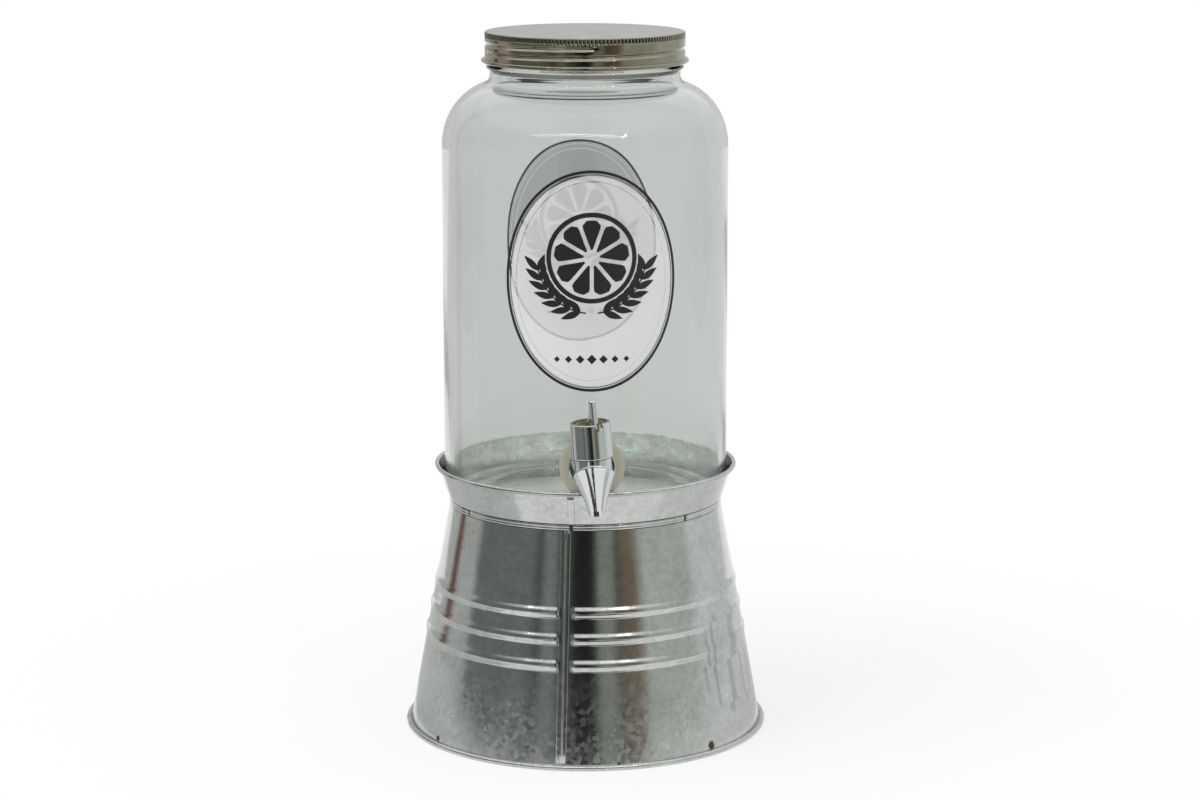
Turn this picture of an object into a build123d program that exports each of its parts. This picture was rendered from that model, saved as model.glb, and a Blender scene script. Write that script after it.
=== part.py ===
from build123d import *
import math
import os

# A glass screw-top jar with a lever tap, standing in the tray of a galvanised stand.
# Millimetres and degrees. The base rests on z = 0, jar and stand share the Z axis, the tap faces -Y.
# Azimuths are measured from the tap's side, positive towards +X.

# Fits
cut_overrun = 2.0
moving_clearance = 0.3
running_play = 0.05

# Stand: seamed cone of sheet with a rolled base edge
stand_sheet = 0.6
base_outer_radius = 104.6
base_roll_radius = 1.7
base_flat_depth = 0.3
tray_floor_height = 133.6
shoulder_width = 1.0
shoulder_drop = 0.5
bead_heights = (57.0, 71.5, 86.0)
bead_width = 7.4
bead_proud = 0.9
bead_seam_gap = 3.0
seam_azimuth = -9.8
seam_width = 3.3
seam_proud = 0.8

# Tray: flat floor, flared ring with a rolled rim, and the band that clinches them to the skirt
tray_depth = 19.45
tray_flare_share = 0.33
tray_roll_radius = 1.3
collar_height = 2.5
collar_step = 0.7
lap_azimuth = -8.1
lap_width = 3.8
band_sheet = 0.8
band_height = 3.0
slit_count = 7
slit_azimuth = -8.3
slit_width = 1.4
slit_height = 2.6
slit_depth = 0.5

# Jar
jar_radius = 81.1
jar_height = 265.2
glass_wall = 4.5
heel_radius = 16.0
foot_width = 7.0
push_up = 4.0
shoulder_radius = 36.0
neck_fillet_radius = 4.5
lip_radius = 1.2
finish_height = 23.0
transfer_bead_radius = 1.8
transfer_bead_proud = 2.2
transfer_bead_height = 4.9

# Screw finish shared by jar and lid
thread_pitch = 5.08
thread_turns = 1.25
thread_radius = 1.6
thread_proud = 1.9
thread_drop = 5.2
thread_start = -270
thread_play = 0.4

# Lid
lid_outer_radius = 56.5
lid_sheet = 0.4
lid_height = 17.5
lid_corner_radius = 1.6
lid_curl_radius = 1.25
lid_bead_engagement = 0.6
lid_bead_root_width = 3.4
lid_bead_tip_width = 1.2
lid_groove_floor = 0.5
lid_bead_start = -172
liner_thickness = 1.0

# Tap: height is worked out from the tray rim, because the flange just clears it
tap_roll = -4.3
rim_clearance = 0.5
gasket_rim_clearance = 0.47
gasket_radius = 18.0
gasket_thickness = 1.6
inner_gasket_radius = 13.0
inner_gasket_edge = 1.5
nut_across_flats = 26.0
nut_thickness = 7.0
shank_end = 3.0
shank_radius = 7.9
shank_bore_radius = 4.2
jar_hole_clearance = 0.5
flange_radius = 13.0
flange_thickness = 2.8
flange_edge_radius = 0.7
tap_neck_radius = 8.0

# Valve chamber, measured from the shank's axis
chamber_reach = 25.0
chamber_radius = 10.3
chamber_bore_radius = 6.0
body_top = 10.7
spigot_radius = 8.25
spigot_height = 4.3
seat_depth = 4.5
outlet_radius = 3.2
outlet_wall = 1.6
throat_depth = 1.7
gland_bore_radius = 6.6
gland_thickness = 4.5
gland_seat_height = 6.0
oring_radius = 0.9

# Spout: a trumpet under a leaning collar, its front upright, narrowing to the tip
spout_lean = 41
spout_collar = 1.4
spout_collar_proud = 0.25
spout_collar_edge_radius = 0.6
spout_collar_reach = 2.7
spout_collar_rise = 0.3
spout_reach = 4.1
spout_tip_drop = 20.3
spout_root_radius = 11.0
spout_tip_radius = 4.45
spout_reach_shares = (0.561, 0.695, 0.895, 0.963)
spout_drop_shares = (0.207, 0.532, 0.739, 0.862)
spout_lean_shares = (0.732, 0.293, 0.122, 0.0)
spout_radius_shares = (0.8545, 0.627, 0.5, 0.45)

# Bonnet with its open top
lever_turn = 24
bonnet_height = 19.2
bonnet_bottom_radius = 11.6
bonnet_top_radius = 11.15
bonnet_wall = 1.75
bonnet_floor = 2.0
bonnet_cup_depth = 6.3
bonnet_edge_radius = 0.6
bonnet_seal_thickness = 0.6
notch_play = 0.4
notch_depth = 3.6

# Valve stem, plug, spring
valve_travel = 4.0
stem_radius = 2.5
collar_radius = 5.6
collar_thickness = 1.0
collar_lift = 0.5
plug_radius = 5.2
plug_height = 5.2
plug_nose_height = 1.6
plug_socket_depth = 3.5
spring_wire_radius = 0.4
spring_mean_radius = 4.2
spring_turns = 5

# Lever: the foot is a cam that lifts the pin evenly as the lever swings
lever_swing = 65
lever_width = 3.5
lever_height = 16.0
lever_foot_depth = 3.0
lever_back_depth = 3.6
lever_heel_cut = 1.1
lever_edge_radius = 0.9
lever_round_foot = 4.0
tongue_width = 1.2
tongue_drop = 7.5
pin_radius = 1.0
cam_steps = 6
front_reach_shares = (0.93, 0.905, 0.88, 0.8)
front_height_shares = (0.25, 0.5, 0.75, 0.93)
top_reach_share = 0.64
back_depth_shares = (-0.83, -0.67, -0.42, 0.33)
back_height_shares = (0.93, 0.6, 0.4, 0.22)

# Places worked out from the sizes above
tray_rim_height = tray_floor_height + tray_depth
tap_height = tray_rim_height + tray_roll_radius + rim_clearance + flange_radius
gasket_foot = tap_height - gasket_radius
tray_wall_at_gasket = jar_radius + gasket_thickness + gasket_rim_clearance


def tray_wall_radius(height):
    """Inner radius of the flared tray wall at a height."""
    return tray_wall_at_gasket + tray_flare_share * (height - gasket_foot)


ring_collar_inner = tray_wall_radius(tray_floor_height) - collar_step
ring_collar_outer = ring_collar_inner + stand_sheet
skirt_collar_inner = ring_collar_inner - stand_sheet
skirt_top_radius = ring_collar_inner + shoulder_width
collar_foot = tray_floor_height - collar_height
skirt_top_height = collar_foot - shoulder_drop
base_roll_height = base_roll_radius - base_flat_depth
skirt_foot_radius = base_outer_radius - 2 * base_roll_radius + stand_sheet
skirt_slope = (skirt_foot_radius - skirt_top_radius) / (skirt_top_height - base_roll_height)

jar_foot = tray_floor_height + moving_clearance
jar_mouth = jar_foot + jar_height
jar_inner_radius = jar_radius - glass_wall
lid_inner_radius = lid_outer_radius - lid_sheet
thread_outer_radius = lid_inner_radius - thread_play
neck_radius = thread_outer_radius - thread_proud
neck_bore_radius = neck_radius - glass_wall
neck_foot = jar_mouth - finish_height
shoulder_turn = math.acos(1 - (jar_radius - neck_radius) / (shoulder_radius + neck_fillet_radius))
shoulder_foot = neck_foot - (shoulder_radius + neck_fillet_radius) * math.sin(shoulder_turn)
thread_height = jar_mouth - thread_drop
lid_top = jar_mouth + moving_clearance + liner_thickness + lid_sheet
lid_foot = lid_top - lid_height
lid_bead_height = thread_height - thread_pitch / 2

tap_place = Pos(0, -jar_radius, tap_height) * Rot(0, tap_roll, 0)
head_place = tap_place * Pos(0, -chamber_reach, 0) * Rot(0, 0, lever_turn)
tap_square_place = Pos(0, 0, tap_height)

inner_gasket_flat = math.sqrt(jar_inner_radius**2 - inner_gasket_radius**2) - inner_gasket_edge
nut_face = inner_gasket_flat - nut_thickness
shank_length = jar_radius - nut_face + shank_end
elbow_drop = spout_tip_drop - outlet_radius - outlet_wall

bonnet_foot = body_top + bonnet_seal_thickness
bonnet_top = bonnet_foot + bonnet_height
cup_floor = bonnet_top - bonnet_cup_depth
spring_top = cup_floor - bonnet_floor
gland_top = gland_seat_height + gland_thickness
collar_bottom = gland_top + collar_lift
spring_bottom = collar_bottom + collar_thickness
pin_height = cup_floor + lever_foot_depth + moving_clearance
plug_foot = moving_clearance - seat_depth
cam_rate = valve_travel / math.radians(lever_swing)

centred_foot = (Align.CENTER, Align.CENTER, Align.MIN)


def rz(radius, height):
    """Point in the half plane that is turned about Z."""
    return (radius, 0, height)


def turned(*edges, arc=360):
    """Solid turned about Z from the edges of a closed outline."""
    outline = Curve() + list(edges)
    return revolve(make_face(outline), Axis.Z, revolution_arc=arc)


def closed_line(*points):
    """Closed outline of straight lines through points of the turned half plane."""
    return Polyline(*[rz(*point) for point in points], close=True)


def post(radius, bottom, top):
    """Upright round bar on the Z axis."""
    return Pos(0, 0, bottom) * Cylinder(radius, top - bottom, align=centred_foot)


def rod(radius, front, back):
    """Round bar along Y."""
    return Pos(0, front, 0) * Rot(-90, 0, 0) * Cylinder(radius, back - front, align=centred_foot)


def bar(start, end, radius):
    """Round bar between two points."""
    run = Vector(*end) - Vector(*start)
    return extrude(Plane(origin=start, z_dir=run) * Circle(radius), amount=run.length)


def facing(azimuth):
    """Turn that brings something built on +X to an azimuth from the tap's side."""
    return Rot(0, 0, azimuth - 90)


def rolled_edge(ring_radius, height, roll_radius, sheet):
    """Section of sheet rolled into a closed tube, in the turned half plane."""
    return Plane.XZ * Pos(ring_radius, height) * (Circle(roll_radius) - Circle(roll_radius - sheet))


def rim_wire(ring_radius, height, roll_radius):
    """Wire inside a rolled edge."""
    return Pos(0, 0, height) * Torus(ring_radius, roll_radius - stand_sheet - running_play)


def cone_radius(height):
    """Outer radius of the skirt's plain cone at a height."""
    return skirt_foot_radius - skirt_slope * (height - base_roll_height)


def bead_segment(height, inset):
    """Outline between the plain cone and a bead's arc, moved in by a sheet thickness for the inside."""
    low = height - bead_width / 2
    high = height + bead_width / 2
    start = rz(cone_radius(low) - inset, low)
    crown = rz(cone_radius(height) - inset + bead_proud, height)
    end = rz(cone_radius(high) - inset, high)
    return [ThreePointArc(start, crown, end), Line(end, start)]


def stand_skirt():
    """Cone with beads that stop short of the folded seam, rolled base edge and seam strip."""
    outer = [
        (skirt_foot_radius, base_roll_height),
        (skirt_top_radius, skirt_top_height),
        (ring_collar_inner, collar_foot),
        (ring_collar_inner, tray_floor_height),
    ]
    inner = [(radius - stand_sheet, height) for radius, height in reversed(outer)]
    roll_ring = base_outer_radius - base_roll_radius
    section = make_face(closed_line(*outer, *inner))
    section += rolled_edge(roll_ring, base_roll_height, base_roll_radius, stand_sheet)
    ground = Rectangle(2 * base_outer_radius, base_roll_radius, align=(Align.MIN, Align.MAX))
    skirt = revolve(section - Plane.XZ * ground, Axis.Z)
    for height in bead_heights:
        gap_angle = math.degrees((seam_width / 2 + bead_seam_gap) / cone_radius(height))
        bead_turn = facing(seam_azimuth + gap_angle)
        bead_arc = 360 - 2 * gap_angle
        skirt += bead_turn * turned(*bead_segment(height, 0), arc=bead_arc)
        skirt -= bead_turn * turned(*bead_segment(height, stand_sheet), arc=bead_arc)
    seam_foot = base_roll_height + base_roll_radius
    seam = turned(
        closed_line(
            (cone_radius(seam_foot) - stand_sheet / 2, seam_foot),
            (cone_radius(seam_foot) + seam_proud, seam_foot),
            (skirt_top_radius + seam_proud, skirt_top_height),
            (skirt_top_radius - stand_sheet / 2, skirt_top_height),
        )
    )
    strip = Box(base_outer_radius, seam_width, tray_floor_height, align=(Align.MIN, Align.CENTER, Align.MIN))
    return skirt + (seam & (facing(seam_azimuth) * strip))


def base_rim_wire():
    """Wire inside the rolled base edge."""
    return rim_wire(base_outer_radius - base_roll_radius, base_roll_height, base_roll_radius)


def tray_floor():
    """Flat disc held inside the skirt's collar."""
    return post(skirt_collar_inner, tray_floor_height - stand_sheet, tray_floor_height)


def tray_roll_ring():
    """Radius of the wire in the tray rim."""
    return tray_wall_radius(tray_rim_height) + tray_roll_radius


def tray_ring():
    """Collar in the clinched joint, flared wall, rolled rim and the lap where the ring closes."""
    flare_foot = collar_foot + band_height + stand_sheet
    inner = [
        (ring_collar_inner, collar_foot),
        (ring_collar_inner, flare_foot - stand_sheet),
        (tray_wall_radius(flare_foot), flare_foot),
        (tray_wall_radius(tray_rim_height), tray_rim_height),
    ]
    outer = [(radius + stand_sheet, height) for radius, height in reversed(inner)]
    section = make_face(closed_line(*inner, *outer))
    section += rolled_edge(tray_roll_ring(), tray_rim_height, tray_roll_radius, stand_sheet)
    ring = revolve(section, Axis.Z)
    lap_top = tray_rim_height - tray_roll_radius
    lap = turned(
        closed_line(
            (tray_wall_radius(flare_foot) + stand_sheet / 2, flare_foot),
            (tray_wall_radius(flare_foot) + 2 * stand_sheet, flare_foot),
            (tray_wall_radius(lap_top) + 2 * stand_sheet, lap_top),
            (tray_wall_radius(lap_top) + stand_sheet / 2, lap_top),
        )
    )
    strip = Pos(0, 0, collar_foot) * Box(
        base_outer_radius, lap_width, tray_depth, align=(Align.MIN, Align.CENTER, Align.MIN)
    )
    return ring + (lap & (facing(lap_azimuth) * strip))


def tray_rim_wire():
    """Wire inside the rolled tray rim."""
    return rim_wire(tray_roll_ring(), tray_rim_height, tray_roll_radius)


def crimp_band():
    """Band round the clinched joint, with short slits pressed into it."""
    outer_radius = ring_collar_outer + band_sheet
    band = post(outer_radius, collar_foot, collar_foot + band_height)
    band -= post(ring_collar_outer, collar_foot - cut_overrun, collar_foot + band_height + cut_overrun)
    slit = Pos(outer_radius - slit_depth, 0, collar_foot + band_height / 2) * Box(
        slit_depth + cut_overrun, slit_width, slit_height, align=(Align.MIN, Align.CENTER, Align.CENTER)
    )
    for index in range(slit_count):
        band -= facing(slit_azimuth + index * 360 / slit_count) * slit
    return band


def jar_side(inset):
    """Edges of heel, wall, shoulder and neck fillet, moved into the glass by an inset."""
    heel = heel_radius - inset
    heel_centre = rz(jar_radius - heel_radius, jar_foot + heel_radius)
    shoulder_centre = (jar_radius - shoulder_radius, shoulder_foot)
    fillet_centre = (neck_radius + neck_fillet_radius, neck_foot)

    def on_circle(centre, radius, angle):
        return rz(centre[0] + radius * math.cos(angle), centre[1] + radius * math.sin(angle))

    diagonal = math.pi / 4
    heel_pair = (heel_centre[0], heel_centre[2])
    shoulder = shoulder_radius - inset
    fillet = neck_fillet_radius + inset
    turn_back = math.pi + shoulder_turn
    return [
        ThreePointArc(
            on_circle(heel_pair, heel, -math.pi / 2),
            on_circle(heel_pair, heel, -diagonal),
            on_circle(heel_pair, heel, 0),
        ),
        Line(on_circle(heel_pair, heel, 0), on_circle(shoulder_centre, shoulder, 0)),
        ThreePointArc(
            on_circle(shoulder_centre, shoulder, 0),
            on_circle(shoulder_centre, shoulder, shoulder_turn / 2),
            on_circle(shoulder_centre, shoulder, shoulder_turn),
        ),
        ThreePointArc(
            on_circle(fillet_centre, fillet, turn_back),
            on_circle(fillet_centre, fillet, (turn_back + math.pi) / 2),
            on_circle(fillet_centre, fillet, math.pi),
        ),
    ]


def wound(section, height, start_angle):
    """Thread wound on a helix about Z from a section in the turned half plane, at a height at azimuth zero."""
    path = Helix(thread_pitch, thread_pitch * thread_turns, lid_outer_radius)
    coil = sweep(section, path=path, is_frenet=True)
    start_height = height + thread_pitch * start_angle / 360
    return Pos(0, 0, start_height) * Rot(0, 0, start_angle) * coil


def jar_glass():
    """Straight jar with a rounded heel and shoulder, transfer bead, screw thread and a hole for the tap."""
    foot_outer = jar_radius - heel_radius
    foot_inner = foot_outer - foot_width
    dome_share = 0.7
    outer = turned(
        ThreePointArc(
            rz(0, jar_foot + push_up),
            rz(foot_inner / 2, jar_foot + push_up * dome_share),
            rz(foot_inner, jar_foot),
        ),
        Line(rz(foot_inner, jar_foot), rz(foot_outer, jar_foot)),
        *jar_side(0),
        Line(rz(neck_radius, neck_foot), rz(neck_radius, jar_mouth)),
        Line(rz(neck_radius, jar_mouth), rz(0, jar_mouth)),
        Line(rz(0, jar_mouth), rz(0, jar_foot + push_up)),
    )
    floor = jar_foot + glass_wall
    lip = jar_mouth + cut_overrun
    hollow = turned(
        ThreePointArc(
            rz(0, floor + push_up),
            rz(foot_outer / 2, floor + push_up * dome_share),
            rz(foot_outer, floor),
        ),
        *jar_side(glass_wall),
        Line(rz(neck_bore_radius, neck_foot), rz(neck_bore_radius, lip)),
        Line(rz(neck_bore_radius, lip), rz(0, lip)),
        Line(rz(0, lip), rz(0, floor + push_up)),
    )
    bead_ring = neck_radius + transfer_bead_proud - transfer_bead_radius
    outer += Pos(0, 0, neck_foot + transfer_bead_height) * Torus(bead_ring, transfer_bead_radius)
    lip_edges = outer.edges().filter_by(GeomType.CIRCLE).group_by(Axis.Z)[-1]
    outer = fillet(lip_edges, lip_radius)
    thread = Plane.XZ * Pos(thread_outer_radius - thread_radius, 0) * Circle(thread_radius)
    outer += wound(thread, thread_height, thread_start)
    tap_hole = tap_square_place * rod(shank_radius + jar_hole_clearance, -jar_radius - cut_overrun, 0)
    return outer - hollow - tap_hole


def lid_shell():
    """Stamped lid with a rolled-in thread and a curled edge."""
    curl_height = lid_foot + lid_curl_radius
    corner_centre = (lid_outer_radius - lid_corner_radius, lid_top - lid_corner_radius)

    def corner(radius):
        slant = radius * math.sqrt(0.5)
        return ThreePointArc(
            rz(corner_centre[0], corner_centre[1] + radius),
            rz(corner_centre[0] + slant, corner_centre[1] + slant),
            rz(corner_centre[0] + radius, corner_centre[1]),
        )

    outer_corner = corner(lid_corner_radius)
    inner_corner = corner(lid_corner_radius - lid_sheet)
    outline = Curve() + [
        Line(rz(0, lid_top), outer_corner @ 0),
        outer_corner,
        Line(outer_corner @ 1, rz(lid_outer_radius, curl_height)),
        Line(rz(lid_outer_radius, curl_height), rz(lid_inner_radius, curl_height)),
        Line(rz(lid_inner_radius, curl_height), inner_corner @ 1),
        inner_corner,
        Line(inner_corner @ 0, rz(0, lid_top - lid_sheet)),
        Line(rz(0, lid_top - lid_sheet), rz(0, lid_top)),
    ]
    section = make_face(outline)
    section += rolled_edge(lid_inner_radius + lid_curl_radius, curl_height, lid_curl_radius, lid_sheet)
    body = revolve(section, Axis.Z)
    bead_tip = thread_outer_radius - lid_bead_engagement
    bead_root = lid_outer_radius - lid_sheet / 2

    def bead_section(shift):
        root = lid_bead_root_width / 2
        tip = lid_bead_tip_width / 2
        return make_face(
            closed_line(
                (bead_root + shift, -root), (bead_root + shift, root), (bead_tip + shift, tip), (bead_tip + shift, -tip)
            )
        )

    body += wound(bead_section(0), lid_bead_height, lid_bead_start)
    return body - wound(bead_section(lid_groove_floor), lid_bead_height, lid_bead_start)


def lid_liner():
    """Sealing disc under the lid's top."""
    radius = lid_inner_radius - lid_corner_radius
    return post(radius, jar_mouth + moving_clearance, jar_mouth + moving_clearance + liner_thickness)


def outer_gasket():
    """Soft washer, flat under the flange and hollowed to the jar behind."""
    washer = rod(gasket_radius, -jar_radius - gasket_thickness, 0)
    washer -= rod(shank_radius + running_play, -jar_radius - cut_overrun, cut_overrun)
    washer = tap_square_place * washer
    return washer - post(jar_radius, 0, jar_mouth)


def inner_gasket():
    """Soft washer inside the jar, crowned to the wall and flat for the nut."""
    washer = rod(inner_gasket_radius, -jar_radius, -inner_gasket_flat)
    washer -= rod(shank_radius + running_play, -jar_radius - cut_overrun, cut_overrun)
    washer = tap_square_place * washer
    return washer & post(jar_inner_radius, 0, jar_mouth)


def shank_nut():
    """Hexagon nut on the shank inside the jar."""
    hexagon = RegularPolygon(nut_across_flats / 2, 6, major_radius=False)
    nut = extrude(hexagon, amount=nut_thickness)
    nut -= post(shank_radius + running_play, -cut_overrun, nut_thickness + cut_overrun)
    return Pos(0, -inner_gasket_flat, tap_height) * Rot(0, tap_roll, 0) * Rot(-90, 0, 0) * nut


def spout_circle(reach, drop, angle, radius):
    """Cross-section of the spout at a point of its middle line, square to a direction from vertical."""
    tilt = math.radians(angle)
    direction = (0, -math.sin(tilt), -math.cos(tilt))
    origin = (0, -chamber_reach - reach, -drop)
    return Plane(origin=origin, x_dir=(1, 0, 0), z_dir=direction) * Circle(radius)


def spout():
    """Trumpet from a leaning collar down to a straight tip."""
    sections = [spout_circle(spout_collar_reach, -spout_collar_rise, spout_lean, spout_root_radius)]
    shares = zip(spout_reach_shares, spout_drop_shares, spout_lean_shares, spout_radius_shares)
    for reach, drop, lean, radius in shares:
        place = (spout_reach * reach, spout_tip_drop * drop, spout_lean * lean)
        sections.append(spout_circle(*place, spout_root_radius * radius))
    trumpet = loft(sections)
    tip = loft([sections[-1], spout_circle(spout_reach, spout_tip_drop, 0, spout_tip_radius)])
    collar_radius = spout_root_radius + spout_collar_proud
    rim = spout_circle(spout_collar_reach, -spout_collar_rise, spout_lean, collar_radius)
    collar = extrude(rim, amount=-spout_collar)
    collar = fillet(collar.edges().filter_by(GeomType.CIRCLE), spout_collar_edge_radius)
    return trumpet + tip + collar


def tap_body():
    """Plated moulding: flange, shank, valve chamber and spout with its waterway."""
    flange = rod(flange_radius, -gasket_thickness - flange_thickness, -gasket_thickness)
    front_edge = flange.edges().filter_by(GeomType.CIRCLE).group_by(Axis.Y)[0]
    body = fillet(front_edge, flange_edge_radius)
    body += rod(tap_neck_radius, -chamber_reach, -gasket_thickness)
    body += rod(shank_radius, -gasket_thickness, shank_length)
    chamber = post(chamber_radius, 0, body_top) + Sphere(chamber_radius)
    chamber += post(spigot_radius, body_top, body_top + spigot_height)
    body += Pos(0, -chamber_reach, 0) * chamber
    throat = (0, -chamber_reach, -seat_depth - throat_depth)
    elbow = (0, -chamber_reach - spout_reach, -elbow_drop)
    body += bar(throat, elbow, outlet_radius + outlet_wall)
    body += Pos(*throat) * Sphere(outlet_radius + outlet_wall)
    body += spout()
    bore = post(chamber_bore_radius, -seat_depth, gland_seat_height)
    bore += post(gland_bore_radius, gland_seat_height, body_top + spigot_height + cut_overrun)
    bore += post(outlet_radius, -seat_depth - throat_depth, 0)
    body -= Pos(0, -chamber_reach, 0) * bore
    body -= rod(shank_bore_radius, -chamber_reach, shank_length + cut_overrun)
    waterway = bar(throat, elbow, outlet_radius) + Pos(*throat) * Sphere(outlet_radius)
    waterway += Pos(*elbow) * Sphere(outlet_radius)
    outlet_end = (elbow[0], elbow[1], -spout_tip_drop - cut_overrun)
    waterway += bar(elbow, outlet_end, outlet_radius)
    return tap_place * (body - waterway)


def bonnet_seal():
    """Flat ring between the body's top and the bonnet."""
    seal = post(chamber_radius, body_top, bonnet_foot)
    seal -= post(spigot_radius + running_play, body_top - cut_overrun, bonnet_foot + cut_overrun)
    return head_place * seal


def tap_bonnet():
    """Cap screwed over the spigot, with a spring room below and an open cup with a notch above."""
    bonnet = Pos(0, 0, bonnet_foot) * Cone(
        bonnet_bottom_radius, bonnet_top_radius, bonnet_height, align=centred_foot
    )
    edges = bonnet.edges().filter_by(GeomType.CIRCLE)
    bonnet = fillet(edges, bonnet_edge_radius)
    bonnet -= post(spigot_radius + running_play, bonnet_foot - cut_overrun, body_top + spigot_height + running_play)
    bonnet -= post(gland_bore_radius, bonnet_foot, spring_top)
    bonnet -= post(stem_radius + moving_clearance, bonnet_foot, bonnet_top)
    cup_radius = bonnet_top_radius - bonnet_wall
    bonnet -= post(cup_radius, cup_floor, bonnet_top + cut_overrun)
    notch_radius = lever_width / 2 + notch_play
    notch_reach = bonnet_bottom_radius + cut_overrun
    notch = rod(notch_radius, -notch_reach, 0)
    notch += Box(2 * notch_radius, notch_reach, notch_depth, align=(Align.CENTER, Align.MAX, Align.MIN))
    bonnet -= Pos(0, 0, bonnet_top - notch_depth + notch_radius) * notch
    return head_place * bonnet


def stem_gland():
    """Bush that closes the wet chamber, bored for the stem and grooved for its ring."""
    gland = post(gland_bore_radius - running_play, gland_seat_height, gland_top)
    gland -= post(stem_radius + running_play, gland_seat_height - cut_overrun, gland_top + cut_overrun)
    groove_height = (gland_seat_height + gland_top) / 2
    groove_outer = stem_radius + running_play + 2 * oring_radius
    groove = post(groove_outer, groove_height - oring_radius, groove_height + oring_radius)
    return head_place * (gland - groove)


def stem_oring():
    """Rubber ring in the gland's groove."""
    ring = Torus(stem_radius + running_play + oring_radius, oring_radius - running_play / 2)
    return head_place * Pos(0, 0, (gland_seat_height + gland_top) / 2) * ring


def valve_stem():
    """Rising stem with a spring collar and a flat tongue for the lever's pin."""
    tongue_foot = pin_height - tongue_drop
    stem = post(stem_radius, plug_foot + plug_height - plug_socket_depth, pin_height)
    stem += Pos(0, 0, pin_height) * Rot(0, 90, 0) * Cylinder(stem_radius, 2 * stem_radius)
    tongue_top = pin_height + stem_radius + cut_overrun
    cheek = Pos(tongue_width / 2, 0, tongue_foot) * Box(
        stem_radius + cut_overrun,
        2 * (stem_radius + cut_overrun),
        tongue_top - tongue_foot,
        align=(Align.MIN, Align.CENTER, Align.MIN),
    )
    stem -= cheek
    stem -= Rot(0, 0, 180) * cheek
    stem += post(collar_radius, collar_bottom, spring_bottom)
    pin_hole = Pos(0, 0, pin_height) * Rot(0, 90, 0) * Cylinder(pin_radius, lever_width)
    return head_place * (stem - pin_hole)


def valve_plug():
    """Soft plug on the stem with a nose in the seat."""
    plug = post(plug_radius, plug_foot, plug_foot + plug_height)
    nose_radius = outlet_radius - moving_clearance
    nose = Cone(nose_radius / 2, nose_radius, plug_nose_height, align=(Align.CENTER, Align.CENTER, Align.MAX))
    plug += Pos(0, 0, plug_foot) * nose
    top = plug_foot + plug_height
    plug -= post(stem_radius, top - plug_socket_depth, top + cut_overrun)
    return head_place * plug


def valve_spring():
    """Compression spring between the stem's collar and the bonnet's floor."""
    height = spring_top - spring_bottom - 2 * spring_wire_radius
    path = Helix(height / spring_turns, height, spring_mean_radius)
    section = Plane(origin=path @ 0, z_dir=path % 0) * Circle(spring_wire_radius)
    coil = sweep(section, path=path, is_frenet=True)
    return head_place * Pos(0, 0, spring_bottom + spring_wire_radius) * coil


def lever_pin():
    """Pin through the lever's cheeks and the stem's tongue."""
    return head_place * Pos(0, 0, pin_height) * Rot(0, 90, 0) * Cylinder(pin_radius, lever_width)


def cam_point(angle):
    """Point of the cam foot that touches the floor when the lever has swung by an angle in radians."""
    depth = lever_foot_depth + cam_rate * angle
    forward = depth * math.sin(angle) + cam_rate * math.cos(angle)
    up = cam_rate * math.sin(angle) - depth * math.cos(angle)
    return (0, -forward, up)


def tap_lever():
    """Thumb lever with a cam foot, forked over the stem's tongue."""
    full_swing = math.radians(lever_swing)
    cam = [cam_point(full_swing * step / cam_steps) for step in range(cam_steps + 1)]
    nose_reach = -cam[-1][1]
    front = [cam[-1]]
    for reach_share, height_share in zip(front_reach_shares, front_height_shares):
        front.append((0, -nose_reach * reach_share, lever_height * height_share))
    top = (0, -nose_reach * top_reach_share, lever_height)
    back = []
    for depth_share, height_share in zip(back_depth_shares, back_height_shares):
        back.append((0, lever_back_depth * depth_share, lever_height * height_share))
    back.append((0, lever_back_depth, 0))
    heel_high = (0, lever_back_depth, lever_heel_cut - lever_foot_depth)
    heel_low = (0, lever_back_depth - lever_heel_cut, -lever_foot_depth)
    outline = Curve() + [
        Spline(*cam),
        Spline(*front),
        ThreePointArc(front[-1], top, back[0]),
        Spline(*back),
        Line(back[-1], heel_high),
        Line(heel_high, heel_low),
        Line(heel_low, cam[0]),
    ]
    lever = extrude(make_face(outline), amount=lever_width / 2, dir=(1, 0, 0), both=True)
    side_edges = lever.edges().filter_by(lambda edge: abs(edge.center().X) > lever_edge_radius)
    thumb_edges = side_edges.filter_by(lambda edge: edge.center().Z > lever_round_foot)
    lever = fillet(thumb_edges, lever_edge_radius)
    slot_radius = stem_radius + moving_clearance
    tilt = math.pi / 2 - full_swing
    far = 2 * nose_reach
    edge_start = (0, -slot_radius * math.sin(tilt), slot_radius * math.cos(tilt))
    edge_end = (0, edge_start[1] - far, edge_start[2] - far * math.tan(tilt))
    fork = Polyline(
        (0, slot_radius, 0),
        (0, slot_radius, -far),
        (0, edge_end[1], -far),
        edge_end,
        edge_start,
        close=True,
    )
    slot_half = tongue_width / 2 + moving_clearance
    slot = extrude(make_face(fork), amount=slot_half, dir=(1, 0, 0), both=True)
    slot += Rot(0, 90, 0) * Cylinder(slot_radius, 2 * slot_half)
    lever -= slot
    lever -= Rot(0, 90, 0) * Cylinder(pin_radius + running_play, lever_width + cut_overrun)
    return head_place * Pos(0, 0, pin_height) * lever


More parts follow.
